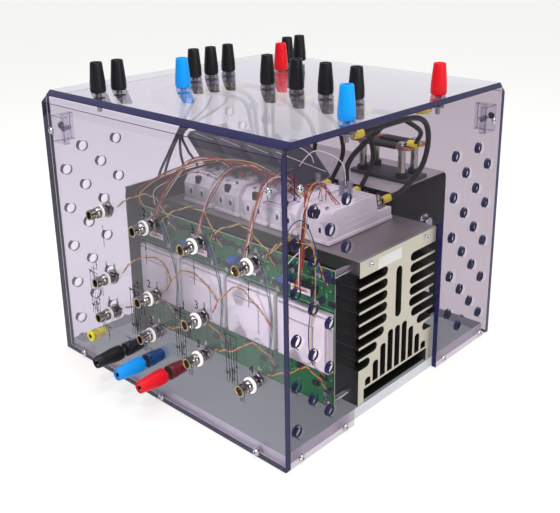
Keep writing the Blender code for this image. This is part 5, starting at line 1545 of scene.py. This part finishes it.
# %% Twisted pairs from the sockets
PAIR = {"1": ("yellow", "brown"), "2": ("yellow", "red"), "3": ("yellow", "red")}
for name in coax_names:
    spot = coax_spots[name]
    row, column = name[-2], int(name[-1])
    rear_x, rear_y = spot.x, FRONT + 0.018
    rise = {"1": 0.011, "2": 0.02, "3": -0.004}[row] * dice.uniform(0.6, 1.15)
    target_x = min(spot.x + 0.016 + 0.003 * column, board_high.x - 0.006)
    target_z = spot.z - 0.034 if row != "3" else 0.036
    loop = [(rear_x, rear_y, spot.z), (rear_x + 0.002, rear_y + 0.007, spot.z + rise * 0.6),
            (rear_x + dice.uniform(0.005, 0.011), rear_y + dice.uniform(0.016, 0.024), spot.z + rise),
            (rear_x + 0.014, rear_y + dice.uniform(0.03, 0.037), spot.z + rise * 0.3),
            (target_x, BOARD_FRONT - 0.01, (spot.z + target_z) / 2),
            (target_x, BOARD_FRONT - 0.0018, target_z)]
    base = smooth(loop, 40)
    for which, colour in enumerate(PAIR[row]):
        twisted = []
        for step, point in enumerate(base):
            a = step * 0.85 + pi * which
            twisted.append(point + Vector((0.0007 * cos(a), 0.0003 * sin(a), 0.0007 * sin(a))))
        routes[colour].append(twisted)
for x in channels[:3]:
    on_board = (x, BOARD_FRONT, 0)
    routes["blue"].append(steps_from(on_board, (12, -4, 138), (22, -20, 148), (34, -22, 130), (33, -13, 90),
                                     (30, -13, 58), (29, -3, 44)))
    routes["green"].append(steps_from(on_board, (14, -4, 138), (24, -18, 150), (36, -20, 128),
                                      (34.5, -13, 86), (31.5, -13, 56), (32, -3, 42)))
for x in module_middles[1:4]:
    routes["white"].append(steps_from((x, 0, 0), (-6, -12, 180), (-10, -4, 196), (-2, 6, 212),
                                      (12, 10, 214), (26, 18, 204), (34.5, 12, 186)))
last = coax_spots["coax_socket_14"]
for colour, shift in (("blue", 0.0), ("yellow", 0.0026)):
    y = BOARD_FRONT - 0.013
    routes[colour].append([(last.x + 0.003, FRONT + 0.02, last.z + 0.004),
                           (0.1134 + shift, y - 0.012, 0.175),
                           (0.1202 + shift, y - 0.01, 0.1875 - shift),
                           (0.1297, y - 0.008, 0.193 - 2 * shift),
                           (0.1365, y - 0.006, 0.183 - 2 * shift), (0.1385 - shift, y - 0.001, 0.164),
                           (0.1385 - shift, y, 0.145), (0.1325 + shift, y, 0.1225),
                           (0.128 + shift, y, 0.09), (0.13 + shift, y + 0.002, 0.064),
                           (0.134 + shift, BOARD_FRONT - 0.002, 0.05)])
routes["white"].append(steps_from((0, BOARD_FRONT, 0), (122, -2, 166), (115, -13, 157.5), (104.5, -14, 144),
                                  (101, -13, 133), (106, -4, 124)))
for colour, found in routes.items():
    if found:
        wires(found, 0.00046, WIRE[colour], f"signal_wires_{colour}", count=44, sides=6)

# %% [markdown]
# ## Leads to the fan
# Four thin black leads leave the supply terminals, meet over the rectifier and
# part again on their way down to the bulkhead. They are swept like the other
# wires, with a smaller radius than the heavy cables.

# %% Four black leads down to the fan
leads = []
meet = Vector((-0.1, -0.0264, 0.2131))
for number, (y, start) in enumerate(((-0.047, 1), (-0.0395, 1), (-0.0146, 2), (0.0035, 3))):
    tail = joints[f"black_cap_supply_{start}_turn"]
    leads.append([(tail.x, tail.y, INNER_TOP - 0.0165), (tail.x - 0.002, tail.y - 0.01, 0.232),
                  meet + Vector((0.0008 * number, 0.002 * number, 0.002)),
                  (-0.1035, (y + meet.y) / 2 - 0.002, 0.193), (-0.109, y, 0.1725),
                  (-0.112, y + 0.001, 0.156), (-0.11, y + 0.012, 0.14)])
wires(leads, 0.0014, CABLE, "lead_fan", count=40, sides=10)
print("signal wires", sum(len(found) for found in routes.values()), "leads", len(leads))

# %% [markdown]
# ## Printed lines on the front
# The front plate carries thin printed lines that join the sockets to the board
# behind. Here they are flat blocks a tenth of a millimetre thick, with the
# number of each socket's column above it, and no words.

# %% Lines and channel numbers
lines = Piece(PRINT)


def stroke(x0, z0, x1, z1, width=0.00055):
    lines.block((min(x0, x1) - width / 2, FRONT - 0.00006, min(z0, z1) - width / 2),
                (max(x0, x1) + width / 2, FRONT + 0.00004, max(z0, z1) + width / 2), PRINT, 0.0)


def arrow(x, z, way):
    """A small arrowhead that points up or down."""
    lines.prism([(x - 0.0011, z), (x + 0.0011, z), (x, z + way * 0.003)][::way], -0.00005, 0.00005, PRINT,
                0.0, seen_in_front(0, FRONT, 0))


def symbol(x, z):
    """A switch symbol: a bar, two stubs, a step and arrowheads."""
    stroke(x, z - 0.006, x, z + 0.006, 0.0008)
    stroke(x - 0.003, z - 0.004, x - 0.003, z + 0.004)
    stroke(x - 0.009, z, x - 0.003, z)
    for way in (-1, 1):
        stroke(x, z + way * 0.004, x + 0.005, z + way * 0.004)
        stroke(x + 0.005, z + way * 0.004, x + 0.005, z + way * 0.011)
    arrow(x + 0.005, z + 0.008, 1)
    arrow(x - 0.006, z - 0.0015, 1)


for name in coax_names:
    spot = coax_spots[name]
    if name[-2] == "1":
        stroke(spot.x, spot.z - 0.034, spot.x, spot.z - 0.013)
        arrow(spot.x, spot.z - 0.02, 1)
    else:
        symbol(spot.x - 0.021, spot.z + 0.001)
        for k in range(3):
            stroke(spot.x - 0.013 + 0.0022 * k, spot.z - 0.02, spot.x - 0.013 + 0.0022 * k, spot.z - 0.012)
    if name[-2] == "3":
        left, low_z = spot.x - 0.028, spot.z - 0.008
        for k in range(5):
            stroke(left + 0.003 * k, low_z, left + 0.003 * k, low_z + 0.044 - 0.008 * (k % 2))
        stroke(left, low_z + 0.044, left + 0.012, low_z + 0.044)
        arrow(left + 0.003, low_z + 0.022, 1)
        arrow(left + 0.009, low_z + 0.012, -1)
for x in (-0.075, -0.043, -0.011):
    stroke(x, 0.036, x, 0.05)
    stroke(x - 0.004, 0.05, x + 0.004, 0.05)
    arrow(x, 0.042, -1)
lines.done("printed_lines", "case", "clear_sheet")

for name in coax_names:
    spot = coax_spots[name]
    words = bpy.data.curves.new("number", "FONT")
    words.body = name[-1]
    words.size = 0.0105
    words.extrude = 0.00005
    holder = place_object("number", words)
    bpy.context.view_layer.update()
    mesh = bpy.data.meshes.new_from_object(holder.evaluated_get(bpy.context.evaluated_depsgraph_get()))
    bpy.data.objects.remove(holder, do_unlink=True)
    mesh.transform(seen_in_front(spot.x - 0.002, FRONT - 0.00005, spot.z + 0.0105))
    mesh.materials.clear()
    mesh.materials.append(PRINT)
    piece_of(mesh, "number_" + name[-2:], "case")

# %% [markdown]
# ## Floor
# A plain pale floor stands for the studio. It glows a little, so that it stays
# pale behind the object without a lamp that would bleach the plates.

# %% Floor
floor_finish = Finish("studio_floor", Roughness=0.6, Emission_Color=(1.0, 0.995, 0.975),
                      Emission_Strength=0.66)
floor_cloud = floor_finish.noise(3.0, 3.0)
floor_finish.wear(Base_Color=floor_finish.blend(floor_cloud, (0.33, 0.328, 0.32), (0.36, 0.357, 0.35)))
FLOOR_HALF = 12.0
floor_mesh = bpy.data.meshes.new("floor")
corners = ((-1, -1), (1, -1), (1, 1), (-1, 1))
floor_mesh.from_pydata([(x * FLOOR_HALF, y * FLOOR_HALF, -0.0002) for x, y in corners], [], [(0, 1, 2, 3)])
floor_mesh.materials.append(floor_finish.material)
floor = place_object("floor", floor_mesh)

# %% [markdown]
# ## Lamps and surroundings
# Three soft lamps light the object from above, from the front and from the
# right, and a narrow spot reaches the driver board through the front sheet. The
# surroundings are bright behind and dim on the viewer's side, by a ramp over the
# direction of view.

# %% Lamps
def lamp(name, place, size, power, colour=(1, 1, 1)):
    data = bpy.data.lights.new(name, "AREA")
    data.shape = "RECTANGLE"
    data.size, data.size_y = size
    data.energy = power
    data.color = colour
    obj = place_object(name, data)
    aim = Vector((0, 0, 0.12)) - Vector(place)
    obj.matrix_world = Matrix.Translation(place) @ aim.to_track_quat("-Z", "Y").to_matrix().to_4x4()


lamp("overhead", (0.0, 0.1, 1.5), (0.9, 0.9), 15.0)
lamp("key", (0.5, -0.66, 1.06), (0.16, 0.16), 6.0, (1.0, 0.99, 0.97))
lamp("right_side", (1.5, -0.1, 0.7), (0.8, 0.8), 7.0, (0.98, 0.99, 1.0))
board_light = bpy.data.lights.new("board_light", "SPOT")
board_light.energy, board_light.spot_size, board_light.spot_blend = 34.0, radians(17), 1.0
board_light.shadow_soft_size = 0.03
aimed = place_object("board_light", board_light)
aimed.location = (0.24, -1.05, 0.16)
aimed.rotation_euler = (Vector((0.1, -0.11, 0.1)) - aimed.location).to_track_quat("-Z", "Y").to_euler()
world = bpy.data.worlds.new("studio")
world.use_nodes = True
sky = world.node_tree
ray = sky.nodes.new("ShaderNodeTexCoord")
ahead_share = sky.nodes.new("ShaderNodeVectorMath")
ahead_share.operation = "DOT_PRODUCT"
ahead_share.inputs[1].default_value = (-0.6, 0.64, 0.48)
walls = sky.nodes.new("ShaderNodeValToRGB")
set_stops(walls.color_ramp, [(0.0, (0.1, 0.1, 0.11)), (0.3, (0.42, 0.42, 0.44)),
                             (0.62, (1.0, 1.0, 1.0))])
sky.links.new(ray.outputs["Generated"], ahead_share.inputs[0])
sky.links.new(ahead_share.outputs["Value"], walls.inputs[0])
sky.links.new(walls.outputs[0], sky.nodes["Background"].inputs["Color"])
sky.nodes["Background"].inputs["Strength"].default_value = 0.85
bpy.context.scene.world = world
bpy.context.scene.view_settings.view_transform = "Standard"
print("lamps", len(bpy.data.lights))
